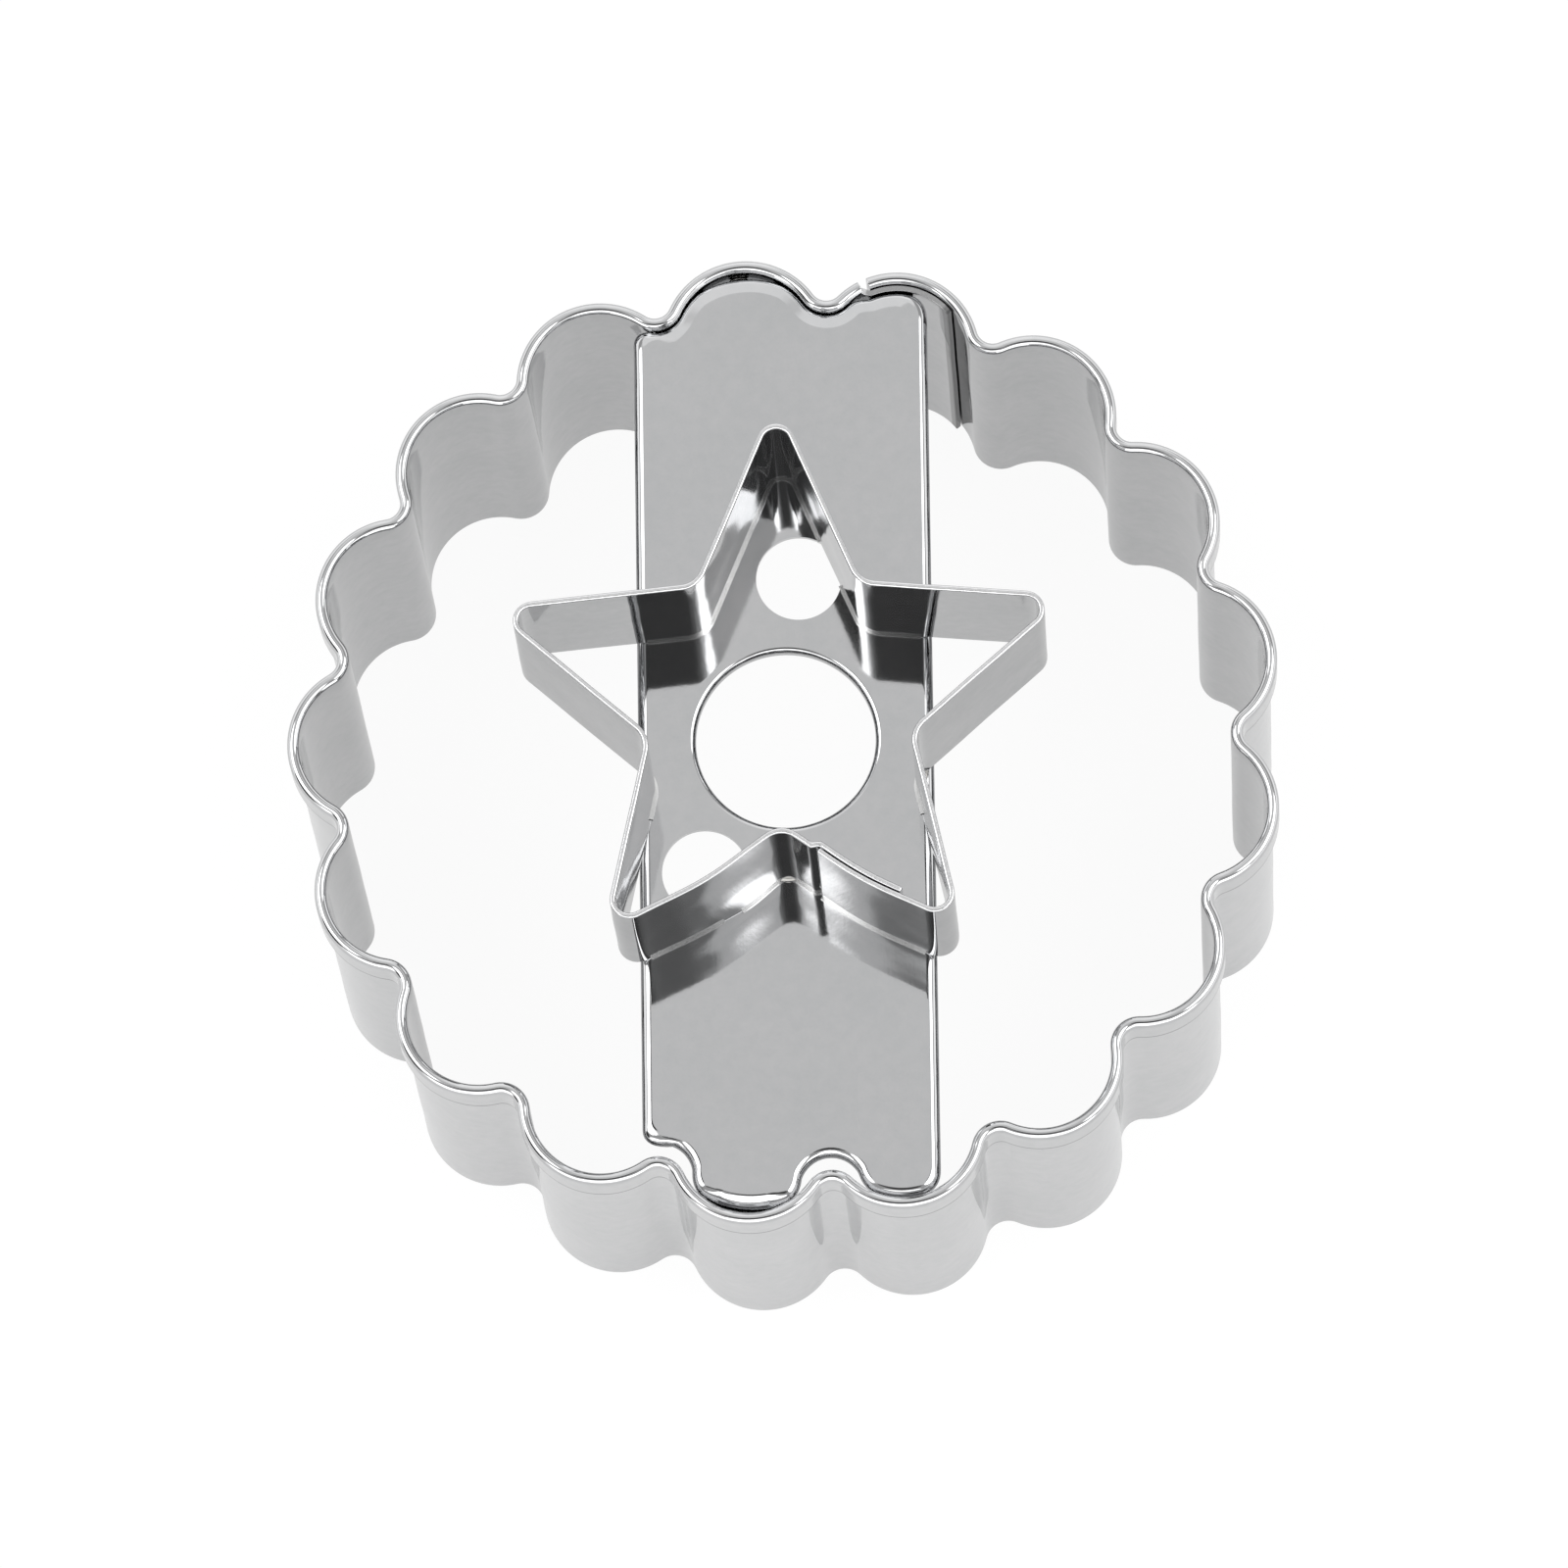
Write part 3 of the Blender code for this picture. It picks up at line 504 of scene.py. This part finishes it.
def outline_point(shape, first_angle, turn, offset):
    """Point of a fluted outline at a turn, moved out by offset."""
    crest = round(turn)
    along = abs(turn - crest) * shape["pitch"]
    past_crest = along - shape["crest_arc"]
    past_flank = past_crest - shape["flank_length"]
    half_step = math.pi / shape["count"]
    if past_flank > 0.0:
        turned = direction(shape["flank"] - past_flank / shape["valley_bend"])
        point = direction(half_step) * shape["valley_centre"] - turned * (shape["valley_bend"] - offset)
    else:
        turned = direction(min(along / shape["crest_bend"], shape["flank"]))
        point = Vector((shape["crest_centre"], 0.0)) + turned * (shape["crest_bend"] + offset)
        point += max(past_crest, 0.0) * direction(shape["flank"] + math.pi / 2.0)
    if turn < crest:
        point.y = -point.y
    return Matrix.Rotation(math.radians(first_angle) + crest * 2.0 * half_step, 2) @ point


def at_front(turn):
    return abs(turn - SCALLOPS / 2.0) < SCALLOPS / 4.0


def turned_down(turn):
    """Whether the plate's end has its flange at a turn: all along the back, only in the tabs at the front."""
    return not at_front(turn) or abs(turn - round(turn)) <= FRONT_TAB_WIDTH / 2.0 * ring_turn


def plate_end_point(turn, inset):
    """Point of the plate's end outline. It keeps off the ring, and furthest at the front valleys."""
    past_step = (turn - ring_joggle_start) / (PLATE_STEP_LENGTH * ring_turn)
    past_step = min(max(past_step, 0.0), 1.0)
    crest_share = math.cos(2.0 * math.pi * turn)
    offset = -PLATE_TO_RING - (RING_SHEET + PLATE_SHEET) / 2.0 - inset
    if round(turn) in WIDE_GAP_CRESTS:
        offset -= (WIDE_GAP - PLATE_TO_RING) * max(crest_share, 0.0)
    if ring_inner_end - 1.0 <= turn <= 0.0:
        offset -= 2.0 * fold_radius * (1.0 - past_step * past_step * (3.0 - 2.0 * past_step))
    if at_front(turn):
        offset -= FRONT_RELIEF * max(-crest_share, 0.0) ** 2
    return outline_point(ring_shape, FIRST_CREST_ANGLE, turn, offset)


def plate_corner(end_turn, inset, side):
    """Turn at which the end outline meets the plate's long edge on that side, found by halving."""
    edge = PLATE_WIDTH / 2.0 - PLATE_SHEET / 2.0 - inset
    quarter = SCALLOPS / 4.0
    near = end_turn
    far = end_turn + (side * quarter if end_turn > quarter else -side * quarter)
    for _ in range(CORNER_HALVINGS):
        middle = (near + far) / 2.0
        if side * plate_end_point(middle, inset).x < edge:
            near = middle
        else:
            far = middle
    return (near + far) / 2.0


def plate_loop(inset):
    """The plate's outline moved in by inset, anticlockwise, and which of its points have a flange below."""
    points = []
    flanged = []
    trim = PLATE_CORNER * ring_turn
    for end_turn, start_side in ((0.0, 1.0), (SCALLOPS / 2.0, -1.0)):
        start = plate_corner(end_turn, inset, start_side)
        end = plate_corner(end_turn, inset, -start_side)
        following = plate_corner(SCALLOPS / 2.0 - end_turn, inset, -start_side)
        for step in range(PLATE_END_STEPS + 1):
            turn = start + trim + (end - start - 2.0 * trim) * step / PLATE_END_STEPS
            points.append(plate_end_point(turn, inset))
            flanged.append(turned_down(turn))
        corner = plate_end_point(end, inset)
        far_corner = plate_end_point(following, inset)
        along = (far_corner - corner).normalized() * PLATE_CORNER
        side = [corner + along + (far_corner - corner - 2.0 * along) * (step / PLATE_SIDE_STEPS)
                for step in range(PLATE_SIDE_STEPS + 1)]
        rounds = []
        for leave, middle, arrive in ((points[-1], corner, side[0]),
                                      (side[-1], far_corner, plate_end_point(following + trim, inset))):
            shares = [step / PLATE_CORNER_STEPS for step in range(1, PLATE_CORNER_STEPS)]
            rounds.append([leave.lerp(middle, s).lerp(middle.lerp(arrive, s), s) for s in shares])
        side = rounds[0] + side + rounds[1]
        flanged += [False] * len(side)
        points += side
    return points, flanged


def small_hole_centres():
    """Middles of the two plain holes, one behind the centre hole and one in front of it at the left edge."""
    reach = (CENTRE_HOLE_DIAMETER + SMALL_HOLE_DIAMETER) / 2.0
    back = (reach + BACK_HOLE_WEB) * direction(math.radians(BACK_HOLE_DIRECTION))
    across = PLATE_WIDTH / 2.0 - FRONT_HOLE_EDGE - SMALL_HOLE_DIAMETER / 2.0
    along = math.sqrt((reach + FRONT_HOLE_WEB) ** 2 - across ** 2)
    return back, Vector((-across, -along))


def circle_points(centre, radius, steps):
    return [Vector(centre) + radius * direction(2.0 * math.pi * step / steps) for step in range(steps)]


def inside_loop(points, loop):
    """Which of the points lie inside a closed loop, by counting crossings."""
    inside = np.zeros(len(points), bool)
    ends = np.roll(loop, -1, axis=0)
    for (x0, y0), (x1, y1) in zip(loop, ends):
        spans = (points[:, 1] < y0) != (points[:, 1] < y1)
        if y1 != y0:
            crossing = x0 + (points[:, 1] - y0) * (x1 - x0) / (y1 - y0)
            inside ^= spans & (points[:, 0] < crossing)
    return inside


def far_from_loop(points, loop, distance):
    """Which of the points are further than distance from every corner of a finely divided loop."""
    gaps = points[:, None, :] - loop[None, :, :]
    return np.sqrt((gaps ** 2).sum(axis=2)).min(axis=1) > distance


def bend_section(radius):
    """Rows of inset and height of a quarter bend whose outer face has that radius."""
    middle = radius - PLATE_SHEET / 2.0
    angles = [math.pi / 2.0 * row / PLATE_BEND_ROWS for row in range(PLATE_BEND_ROWS + 1)]
    return [(middle * (1.0 - math.sin(angle)), -middle * (1.0 - math.cos(angle))) for angle in angles]


def new_piece(name, shell, material):
    """Keep a finished bmesh as a smooth object at the origin."""
    mesh = bpy.data.meshes.new(name)
    shell.to_mesh(mesh)
    shell.free()
    mesh.shade_smooth()
    mesh.materials.append(material)
    piece = bpy.data.objects.new(name, mesh)
    bpy.context.collection.objects.link(piece)
    return piece


# The long edges and the right front tab are plain bends, and the back end slopes a little to a tighter bend
tight_bend = bend_section(TIGHT_BEND)
side_bend = bend_section(PLATE_BEND)
side_rows = [(side_bend[0][0] + RIM_LEAD * share, 0.0) for share in LEAD_SHARES] + side_bend
back_rows = [(tight_bend[0][0] + RIM_LEAD * share, -BACK_SLOPE * RIM_LEAD * (1.0 - share))
             for share in LEAD_SHARES]
back_rows += [(inset, height - BACK_SLOPE * RIM_LEAD) for inset, height in tight_bend]
tab_rows = [(inset * MM, height * MM) for inset, height in TAB_CHAMFER_MM]
plate_edge, plate_flanged = plate_loop(0.0)
chamfered_middle = outline_point(ring_shape, FIRST_CREST_ANGLE, CHAMFERED_CREST, 0.0)
back_share = np.array([point.y > 0.0 and flanged for point, flanged in zip(plate_edge, plate_flanged)], float)
tab_share = np.array([flanged and (point - chamfered_middle).length < FRONT_TAB_WIDTH
                      for point, flanged in zip(plate_edge, plate_flanged)], float)
# The sections ease into each other over a few points
shifts = range(-SECTION_EASING, SECTION_EASING + 1)
back_share = sum(np.roll(back_share, shift) for shift in shifts) / len(shifts)
tab_share = sum(np.roll(tab_share, shift) for shift in shifts) / len(shifts)
rim_rows = []
for side_row, back_row, tab_row in zip(side_rows, back_rows, tab_rows):
    loops = [plate_loop(inset)[0] for inset, _ in (side_row, back_row, tab_row)]
    points = []
    for side, back, tab, backed, tabbed in zip(*loops, back_share, tab_share):
        point = side + (back - side) * backed + (tab - side) * tabbed
        height = side_row[1] + (back_row[1] - side_row[1]) * backed + (tab_row[1] - side_row[1]) * tabbed
        points.append((point.x, point.y, height))
    rim_rows.append(points)
flat_outline = [Vector(point[:2]) for point in rim_rows[0]]
lip_radius = CENTRE_HOLE_DIAMETER / 2.0 + PLATE_SHEET / 2.0
hole_loops = [circle_points((0.0, 0.0), lip_radius + tight_bend[0][0], CENTRE_HOLE_STEPS)]
for hole_centre in small_hole_centres():
    hole_loops.append(circle_points(hole_centre, SMALL_HOLE_DIAMETER / 2.0, SMALL_HOLE_STEPS))

# The flat is filled with a grid of points that keeps off its outline and its holes
sheet_loops = [flat_outline] + hole_loops
flat_loops = [np.array(loop) for loop in sheet_loops]
across = np.arange(-PLATE_WIDTH / 2.0, PLATE_WIDTH / 2.0, PLATE_GRID)
lengthways = np.arange(-RING_DIAMETER / 2.0, RING_DIAMETER / 2.0, PLATE_GRID)
grid_points = np.array([(x, y) for x in across for y in lengthways])
grid_points = grid_points[inside_loop(grid_points, flat_loops[0])]
for number, loop in enumerate(flat_loops):
    if number:
        grid_points = grid_points[~inside_loop(grid_points, loop)]
    grid_points = grid_points[far_from_loop(grid_points, loop, GRID_MARGIN)]

flat_points = []
flat_edges = []
for loop in sheet_loops:
    first = len(flat_points)
    flat_points += loop
    flat_edges += [(first + i, first + (i + 1) % len(loop)) for i in range(len(loop))]
flat_points += [Vector(point) for point in grid_points]
cut_points, _, cut_faces, cut_origins, _, _ = delaunay_2d_cdt(flat_points, flat_edges, [], 0, MERGE_DISTANCE)
middles = np.array([np.mean([cut_points[corner] for corner in face], axis=0) for face in cut_faces])
in_sheet = inside_loop(middles, flat_loops[0])
for loop in flat_loops[1:]:
    in_sheet &= ~inside_loop(middles, loop)

plate_shell = bmesh.new()
flat_corners = [plate_shell.verts.new((point.x, point.y, 0.0)) for point in cut_points]
for face, kept in zip(cut_faces, in_sheet):
    if kept:
        plate_shell.faces.new([flat_corners[corner] for corner in face])
corner_of = {}
for corner, origins in enumerate(cut_origins):
    for origin in origins:
        corner_of[origin] = flat_corners[corner]


def sweep_down(start, loops, kept):
    """Add rows of points below a loop of the flat, where both neighbours are kept."""
    above = start
    for loop in loops:
        below = [plate_shell.verts.new(point) if kept[i] else None for i, point in enumerate(loop)]
        for i in range(len(loop)):
            j = (i + 1) % len(loop)
            if kept[i] and kept[j]:
                plate_shell.faces.new((above[i], below[i], below[j], above[j]))
        above = below
    return above


outline_corners = [corner_of[i] for i in range(len(flat_outline))]
rolled_foot = sweep_down(outline_corners, rim_rows[1:], [True] * len(flat_outline))
flange_foot = PLATE_SHEET / 2.0 - END_FLANGE_DEPTH
flange_rows = [[(x, y, z + (flange_foot - z) * row / FLANGE_ROWS) for x, y, z in rim_rows[-1]]
               for row in range(1, FLANGE_ROWS + 1)]
sweep_down(rolled_foot, flange_rows, plate_flanged)

lip_corners = [corner_of[len(flat_outline) + i] for i in range(CENTRE_HOLE_STEPS)]
lip_rows = []
for inset, height in tight_bend[1:] + [(0.0, PLATE_SHEET / 2.0 - CENTRE_HOLE_LIP_DEPTH)]:
    loop = circle_points((0.0, 0.0), lip_radius + inset, CENTRE_HOLE_STEPS)
    lip_rows.append([(point.x, point.y, height) for point in loop])
sweep_down(lip_corners, lip_rows, [True] * len(lip_corners))
bmesh.ops.recalc_face_normals(plate_shell, faces=plate_shell.faces)
for corner in plate_shell.verts:
    swell = SWELL * noise.noise(Vector((corner.co.x, corner.co.y, 0.0)) / SWELL_LENGTH)
    corner.co.z += plate_middle + swell
# Pressed from polished sheet: the same steel with a fainter relief, its rolling lines along the plate
plate_steel = polished_steel("buffed stainless sheet, plate", ("#C9CACB", "#CFCFD0"),
                             grain_stretch=(1.0, 0.05, 1.0), roughness=(0.04, 0.07), relief=0.7)
plate = new_piece("bridge_plate_sheet", plate_shell, plate_steel)
if plate.data.polygons[0].normal.z < 0.0:
    plate.data.flip_normals()
give_thickness(plate, PLATE_SHEET, edge_steel, EDGE_ROUND)
steel_piece(plate, "bridge_plate")


# Star cutter
# A narrower strip of the same sheet, bent into a five-pointed star that stands on the plate. Its outer end
# lies over its inner end on the right flank of the front notch, where two spot welds hold the lap.

STAR_ARMS = 5
STAR_TIP_RADIUS = 13.65 * MM
STAR_NOTCH_RADIUS = 7.06 * MM
STAR_TIP_BEND = 0.83 * MM
STAR_NOTCH_BEND = 1.3 * MM
# A hair under the part's 30.5 mm, so that nothing reaches past it
STAR_TOP = 30.497 * MM
STAR_SHEET = 0.28 * MM
STAR_WAVINESS = 0.018 * MM
STAR_WAVE_LENGTH = 4.0 * MM
STAR_EDGE_ROUND = 0.1 * MM
FIRST_ARM_ANGLE = 90.0
STAR_LAP_NOTCH = 2.5
STAR_LAP_FROM_NOTCH = 2.1 * MM
STAR_LAP_LENGTH = 4.6 * MM
# The two flanks of the front notch are bowed out, and the left one is flared at its foot
STAR_BOW = 0.3 * MM
STAR_FLARE = 0.2 * MM
STAR_FLARE_FROM_NOTCH = 2.3 * MM
STAR_FLARE_REACH = 1.6 * MM
STAR_FLARE_HEIGHT = 2.9 * MM
STAR_COLUMNS_PER_ARM = 110
STAR_ROWS = 24

star_shape = fluted_shape(STAR_ARMS, STAR_TIP_RADIUS, STAR_NOTCH_RADIUS, STAR_TIP_BEND, STAR_NOTCH_BEND)
star_turn = 1.0 / star_shape["pitch"]
star_outer_end = STAR_LAP_NOTCH + STAR_LAP_FROM_NOTCH * star_turn
star_inner_end = star_outer_end + STAR_LAP_LENGTH * star_turn + STAR_ARMS
star_joggle_end = star_outer_end + STAR_ARMS - JOGGLE_CLEARANCE * star_turn
star_joggle_start = star_joggle_end - JOGGLE_LENGTH * star_turn
# Polished stainless strip: the same polish as the ring's, with half its relief, and darker as painted shade
# for the shaded floor its walls reflect
star_steel = polished_steel("buffed stainless strip, star", ("#C0C1C2", "#CACACB"), ROUND_THE_PIECE,
                            STRIP_ROUGHNESS, relief=0.5)
star_values = {
    "Bends": STAR_ARMS, "Columns": round((star_inner_end - star_outer_end) * STAR_COLUMNS_PER_ARM),
    "Rows": STAR_ROWS + 1, "Seed": 11,
    "Sharp Crest": star_shape["sharp_crest"], "Sharp Valley": star_shape["sharp_valley"],
    "Crest Bend": STAR_TIP_BEND, "Valley Bend": STAR_NOTCH_BEND, "Crest Arc": star_shape["crest_arc"],
    "First Angle": math.radians(FIRST_ARM_ANGLE), "Start Turn": star_outer_end, "End Turn": star_inner_end,
    "Wall Rows": float(STAR_ROWS), "Fold Rows": 0.0, "Foot": plate_top, "Wall Height": STAR_TOP - plate_top,
    "Fold Radius": 0.0, "Hem Length": 0.0, "Hem Start": 0.0,
    "Joggle Start": star_joggle_start, "Joggle End": star_joggle_end, "Offset Before": 0.0,
    "Offset After": -(STAR_SHEET + HEM_GAP), "Waviness": STAR_WAVINESS, "Wave Length": STAR_WAVE_LENGTH,
    "Material": star_steel,
    "Bow": STAR_BOW, "Bow Start": STAR_LAP_NOTCH - 0.5, "Bow End": STAR_LAP_NOTCH + 0.5,
    "Flare": STAR_FLARE, "Flare Turn": STAR_LAP_NOTCH - STAR_FLARE_FROM_NOTCH * star_turn,
    "Flare Reach": STAR_FLARE_REACH * star_turn, "Flare Height": STAR_FLARE_HEIGHT,
    "Painted Shade": 0.0, "Painted Shade End": star_inner_end,
}
star = make_strip("star_strip", bent_strip, star_values)
give_thickness(star, STAR_SHEET, edge_steel, STAR_EDGE_ROUND)
steel_piece(star, "star_cutter")


# Star foot seam
# A thin bright seam of solder runs along the star's foot wherever the plate lies under it. It is left out
# over the small holes and stops short of the plate's long edges.

SEAM_WIDTH = 0.5 * MM
SEAM_HEIGHT = 0.13 * MM
SEAM_ROUND = 0.11 * MM
SEAM_STEP = 0.1 * MM
SEAM_FROM_EDGE = 0.45 * MM
SEAM_FROM_HOLE = 0.1 * MM
SEAM_SINK = 0.03 * MM
SEAM_ROWS = 3
SEAM_FEWEST_POINTS = 5

# Solder with a silky shine: paler and duller than the sheet, with no direction in its grain
seam_steel = polished_steel("bright solder seam", ("#E6E6E6", "#F2F2F1"), grain_stretch=(1.0, 1.0, 1.0),
                            roughness=(0.12, 0.2))
seam_steps = round((star_inner_end - star_outer_end) / (SEAM_STEP * star_turn))
seam_runs = [[]]
for step in range(seam_steps + 1):
    turn = star_outer_end + (star_inner_end - star_outer_end) * step / seam_steps
    foot = outline_point(star_shape, FIRST_ARM_ANGLE, turn, 0.0)
    carried = abs(foot.x) < PLATE_WIDTH / 2.0 - SEAM_FROM_EDGE
    for hole_centre in small_hole_centres():
        carried = carried and (foot - hole_centre).length > SMALL_HOLE_DIAMETER / 2.0 + SEAM_FROM_HOLE
    if carried:
        seam_runs[-1].append(turn)
    elif seam_runs[-1]:
        seam_runs.append([])
seam_shell = bmesh.new()
for run in seam_runs:
    if len(run) >= SEAM_FEWEST_POINTS:
        stretch = make_strip("seam stretch", bent_strip, {
            **star_values, "Columns": len(run), "Rows": SEAM_ROWS + 1, "Wall Rows": float(SEAM_ROWS),
            "Start Turn": run[0], "End Turn": run[-1], "Foot": plate_top - SEAM_SINK,
            "Wall Height": SEAM_HEIGHT + SEAM_SINK, "Material": seam_steel,
        })
        seam_shell.from_mesh(stretch.data)
        bpy.data.objects.remove(stretch)
seam = new_piece("star_foot_seam", seam_shell, seam_steel)
give_thickness(seam, SEAM_WIDTH, seam_steel, SEAM_ROUND, round_steps=1)
steel_piece(seam, slot="weld_steel")


# Spot welds and tacks
# Small beads of bare metal. Four spot welds hold the plate's turned-down ends to the ring, and five tacks
# hold the star's foot to the plate at its notches.

# Half sizes of a bead: along the joint, across it and upwards
FLANGE_BEAD = (0.45 * MM, 0.14 * MM, 0.28 * MM)
TACK_BEAD = (0.55 * MM, 0.2 * MM, 0.12 * MM)
# Ripples along a bead and lumps all over it: how deep, as shares of its size, and how close
RIPPLE_DEPTH = 0.02
RIPPLES = 9.0
LUMP_DEPTH = 0.04
LUMPS = 2.5

# Bare weld metal: greyer and duller than the sheet, with a slight straw tint from the heat
weld_steel = unpolished_metal("bare weld bead", ("#8E8C88", "#B3B2AF"), roughness=(0.2, 0.45),
                              grain_size=0.25 * MM, grain_detail=4.0, grain_contrast=0.6,
                              grain_depth=0.003 * MM)


def weld_bead(name, centre, half_sizes, angle):
    """A rounded bead with shallow ripples along it."""
    bead = bmesh.new()
    bmesh.ops.create_icosphere(bead, subdivisions=4, radius=1.0)
    for corner in bead.verts:
        unit = corner.co.normalized()
        lump = LUMP_DEPTH * noise.noise(unit * LUMPS + Vector(centre) / MM)
        ripple = 1.0 + RIPPLE_DEPTH * math.sin(RIPPLES * unit.x) + lump
        corner.co = Vector((unit.x * half_sizes[0], unit.y * half_sizes[1], unit.z * half_sizes[2])) * ripple
    bead.transform(Matrix.Translation(centre) @ Matrix.Rotation(angle, 4, "Z"))
    return new_piece(name, bead, weld_steel)


for node in sorted(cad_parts):
    if node.startswith(("flange_weld", "star_tack")):
        low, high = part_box(node)
        middle = (low + high) / 2.0
        along = math.atan2(middle.y, middle.x) + math.pi / 2.0
        if node.startswith("flange_weld"):
            bead = weld_bead("spot_" + node, middle, FLANGE_BEAD, along)
        else:
            bead = weld_bead("bead_" + node, middle, TACK_BEAD, along)
        steel_piece(bead, node, slot="weld_steel")


# Floor and light
# A white table in a plain bright studio. The sheet metal shows the studio: soft light from both sides, a
# greyer ceiling, and dark patches where the camera and its stand are.

TABLE_RADIUS = 1500.0 * MM
TABLE_STEPS = 96
# How much of the table is plain white: to the camera, and in the metal, where the white is dimmed too
WHITE_TO_CAMERA = 0.93
WHITE_IN_METAL = 0.7
DIMMED_IN_METAL = 0.28

floor_shell = bmesh.new()
bmesh.ops.create_circle(floor_shell, cap_ends=True, segments=TABLE_STEPS, radius=TABLE_RADIUS)
floor_paint = bpy.data.materials.new("matt white table")
floor_paint.use_nodes = True
floor_tree = floor_paint.node_tree
floor_tree.nodes.clear()
rays = add_node(floor_tree, "ShaderNodeLightPath")
seen = add_node(floor_tree, "ShaderNodeMath", {0: rays.outputs["Is Camera Ray"], 1: WHITE_TO_CAMERA},
                operation="MULTIPLY")
mirrored = add_node(floor_tree, "ShaderNodeMath", {0: rays.outputs["Is Glossy Ray"],
                                                   1: rays.outputs["Is Transmission Ray"]}, operation="ADD")
seen = add_node(floor_tree, "ShaderNodeMath", {0: mirrored, 1: WHITE_IN_METAL, 2: seen},
                operation="MULTIPLY_ADD")
shine = add_node(floor_tree, "ShaderNodeMath", {0: mirrored, 1: -DIMMED_IN_METAL, 2: 1.0},
                 operation="MULTIPLY_ADD")
paint = add_node(floor_tree, "ShaderNodeBsdfDiffuse", {"Color": linear_colour("#F4F4F4")})
white = add_node(floor_tree, "ShaderNodeEmission", {"Color": linear_colour("#FFFFFF"), "Strength": shine})
floor_mix = add_node(floor_tree, "ShaderNodeMixShader", {0: seen, 1: paint, 2: white})
add_node(floor_tree, "ShaderNodeOutputMaterial", {"Surface": floor_mix})
floor = new_piece("table", floor_shell, floor_paint)

# Patches of the studio: azimuth and distance from straight up, reach and softness of the edge in degrees, and
# brightness. A later patch covers the ones before it.
ROOM_LEVEL = 1.3
ROOM_PATCHES = (
    (0.0, 0.0, 62.0, 2.0, 0.45),
    (105.0, 14.0, 28.0, 1.5, 0.78),
    (97.0, 42.0, 21.0, 1.0, 1.02),
    (90.0, 50.0, 14.0, 1.5, 1.25),
    (-90.0, 57.0, 22.0, 1.5, 2.6),
    (-58.0, 66.0, 18.0, 1.5, 2.6),
    (-122.0, 66.0, 18.0, 1.5, 2.6),
    (26.0, 14.5, 5.5, 2.0, 0.5),
    (-3.0, 34.0, 20.5, 1.0, 3.1),
    (177.0, 34.0, 20.5, 1.0, 3.1),
    (200.0, 72.0, 14.0, 2.0, 0.05),
    (214.0, 14.5, 1.3, 0.6, 0.28),
    (318.0, 14.5, 1.5, 0.6, 0.25),
    (-94.5, 14.5, 11.8, 0.8, 0.17),
    (-95.0, 14.5, 8.0, 2.5, 0.07),
    (138.0, 14.5, 4.5, 0.5, 0.04),
)
world = bpy.data.worlds.new("bright studio")
bpy.context.scene.world = world
world.use_nodes = True
world_tree = world.node_tree
world_tree.nodes.clear()
looking = add_node(world_tree, "ShaderNodeTexCoord").outputs["Generated"]
level = ROOM_LEVEL
for azimuth, from_top, reach, softness, brightness in ROOM_PATCHES:
    flat = direction(math.radians(azimuth)) * math.sin(math.radians(from_top))
    towards = (flat.x, flat.y, math.cos(math.radians(from_top)))
    facing = add_node(world_tree, "ShaderNodeVectorMath", {0: looking, 1: towards}, operation="DOT_PRODUCT")
    cover = add_node(world_tree, "ShaderNodeMapRange",
                     {"Value": facing.outputs["Value"], "From Min": math.cos(math.radians(reach + softness)),
                      "From Max": math.cos(math.radians(reach - softness))}, interpolation_type="SMOOTHSTEP")
    level = add_node(world_tree, "ShaderNodeMix", {0: cover, 2: level, 3: brightness}, data_type="FLOAT")
room = add_node(world_tree, "ShaderNodeBackground", {"Color": linear_colour("#FFFFFF"), "Strength": level})
backdrop = add_node(world_tree, "ShaderNodeBackground", {"Color": linear_colour("#FFFFFF"), "Strength": 1.0})
world_rays = add_node(world_tree, "ShaderNodeLightPath")
world_mix = add_node(world_tree, "ShaderNodeMixShader", {0: world_rays.outputs["Is Camera Ray"], 1: room,
                                                         2: backdrop})
add_node(world_tree, "ShaderNodeOutputWorld", {"Surface": world_mix})


# Camera
# It stands a little in front of the cutter and looks steeply down on it. Its values are fitted to the ring's
# scalloped outlines in the photograph.

CAMERA_LENS = 345.76
CAMERA_PLACE = (0.02194, -0.18967, 0.74946)
CAMERA_TURN = (0.25127, 0.03370, -0.01335)

camera_lens = bpy.data.cameras.new("camera")
camera_lens.lens = CAMERA_LENS
camera_lens.sensor_width = 36.0
camera_lens.clip_start = 0.05
camera_lens.clip_end = 20.0
camera = bpy.data.objects.new("camera", camera_lens)
camera.location = CAMERA_PLACE
camera.rotation_euler = CAMERA_TURN
bpy.context.collection.objects.link(camera)
bpy.context.scene.camera = camera
bpy.context.scene.view_settings.view_transform = "Standard"
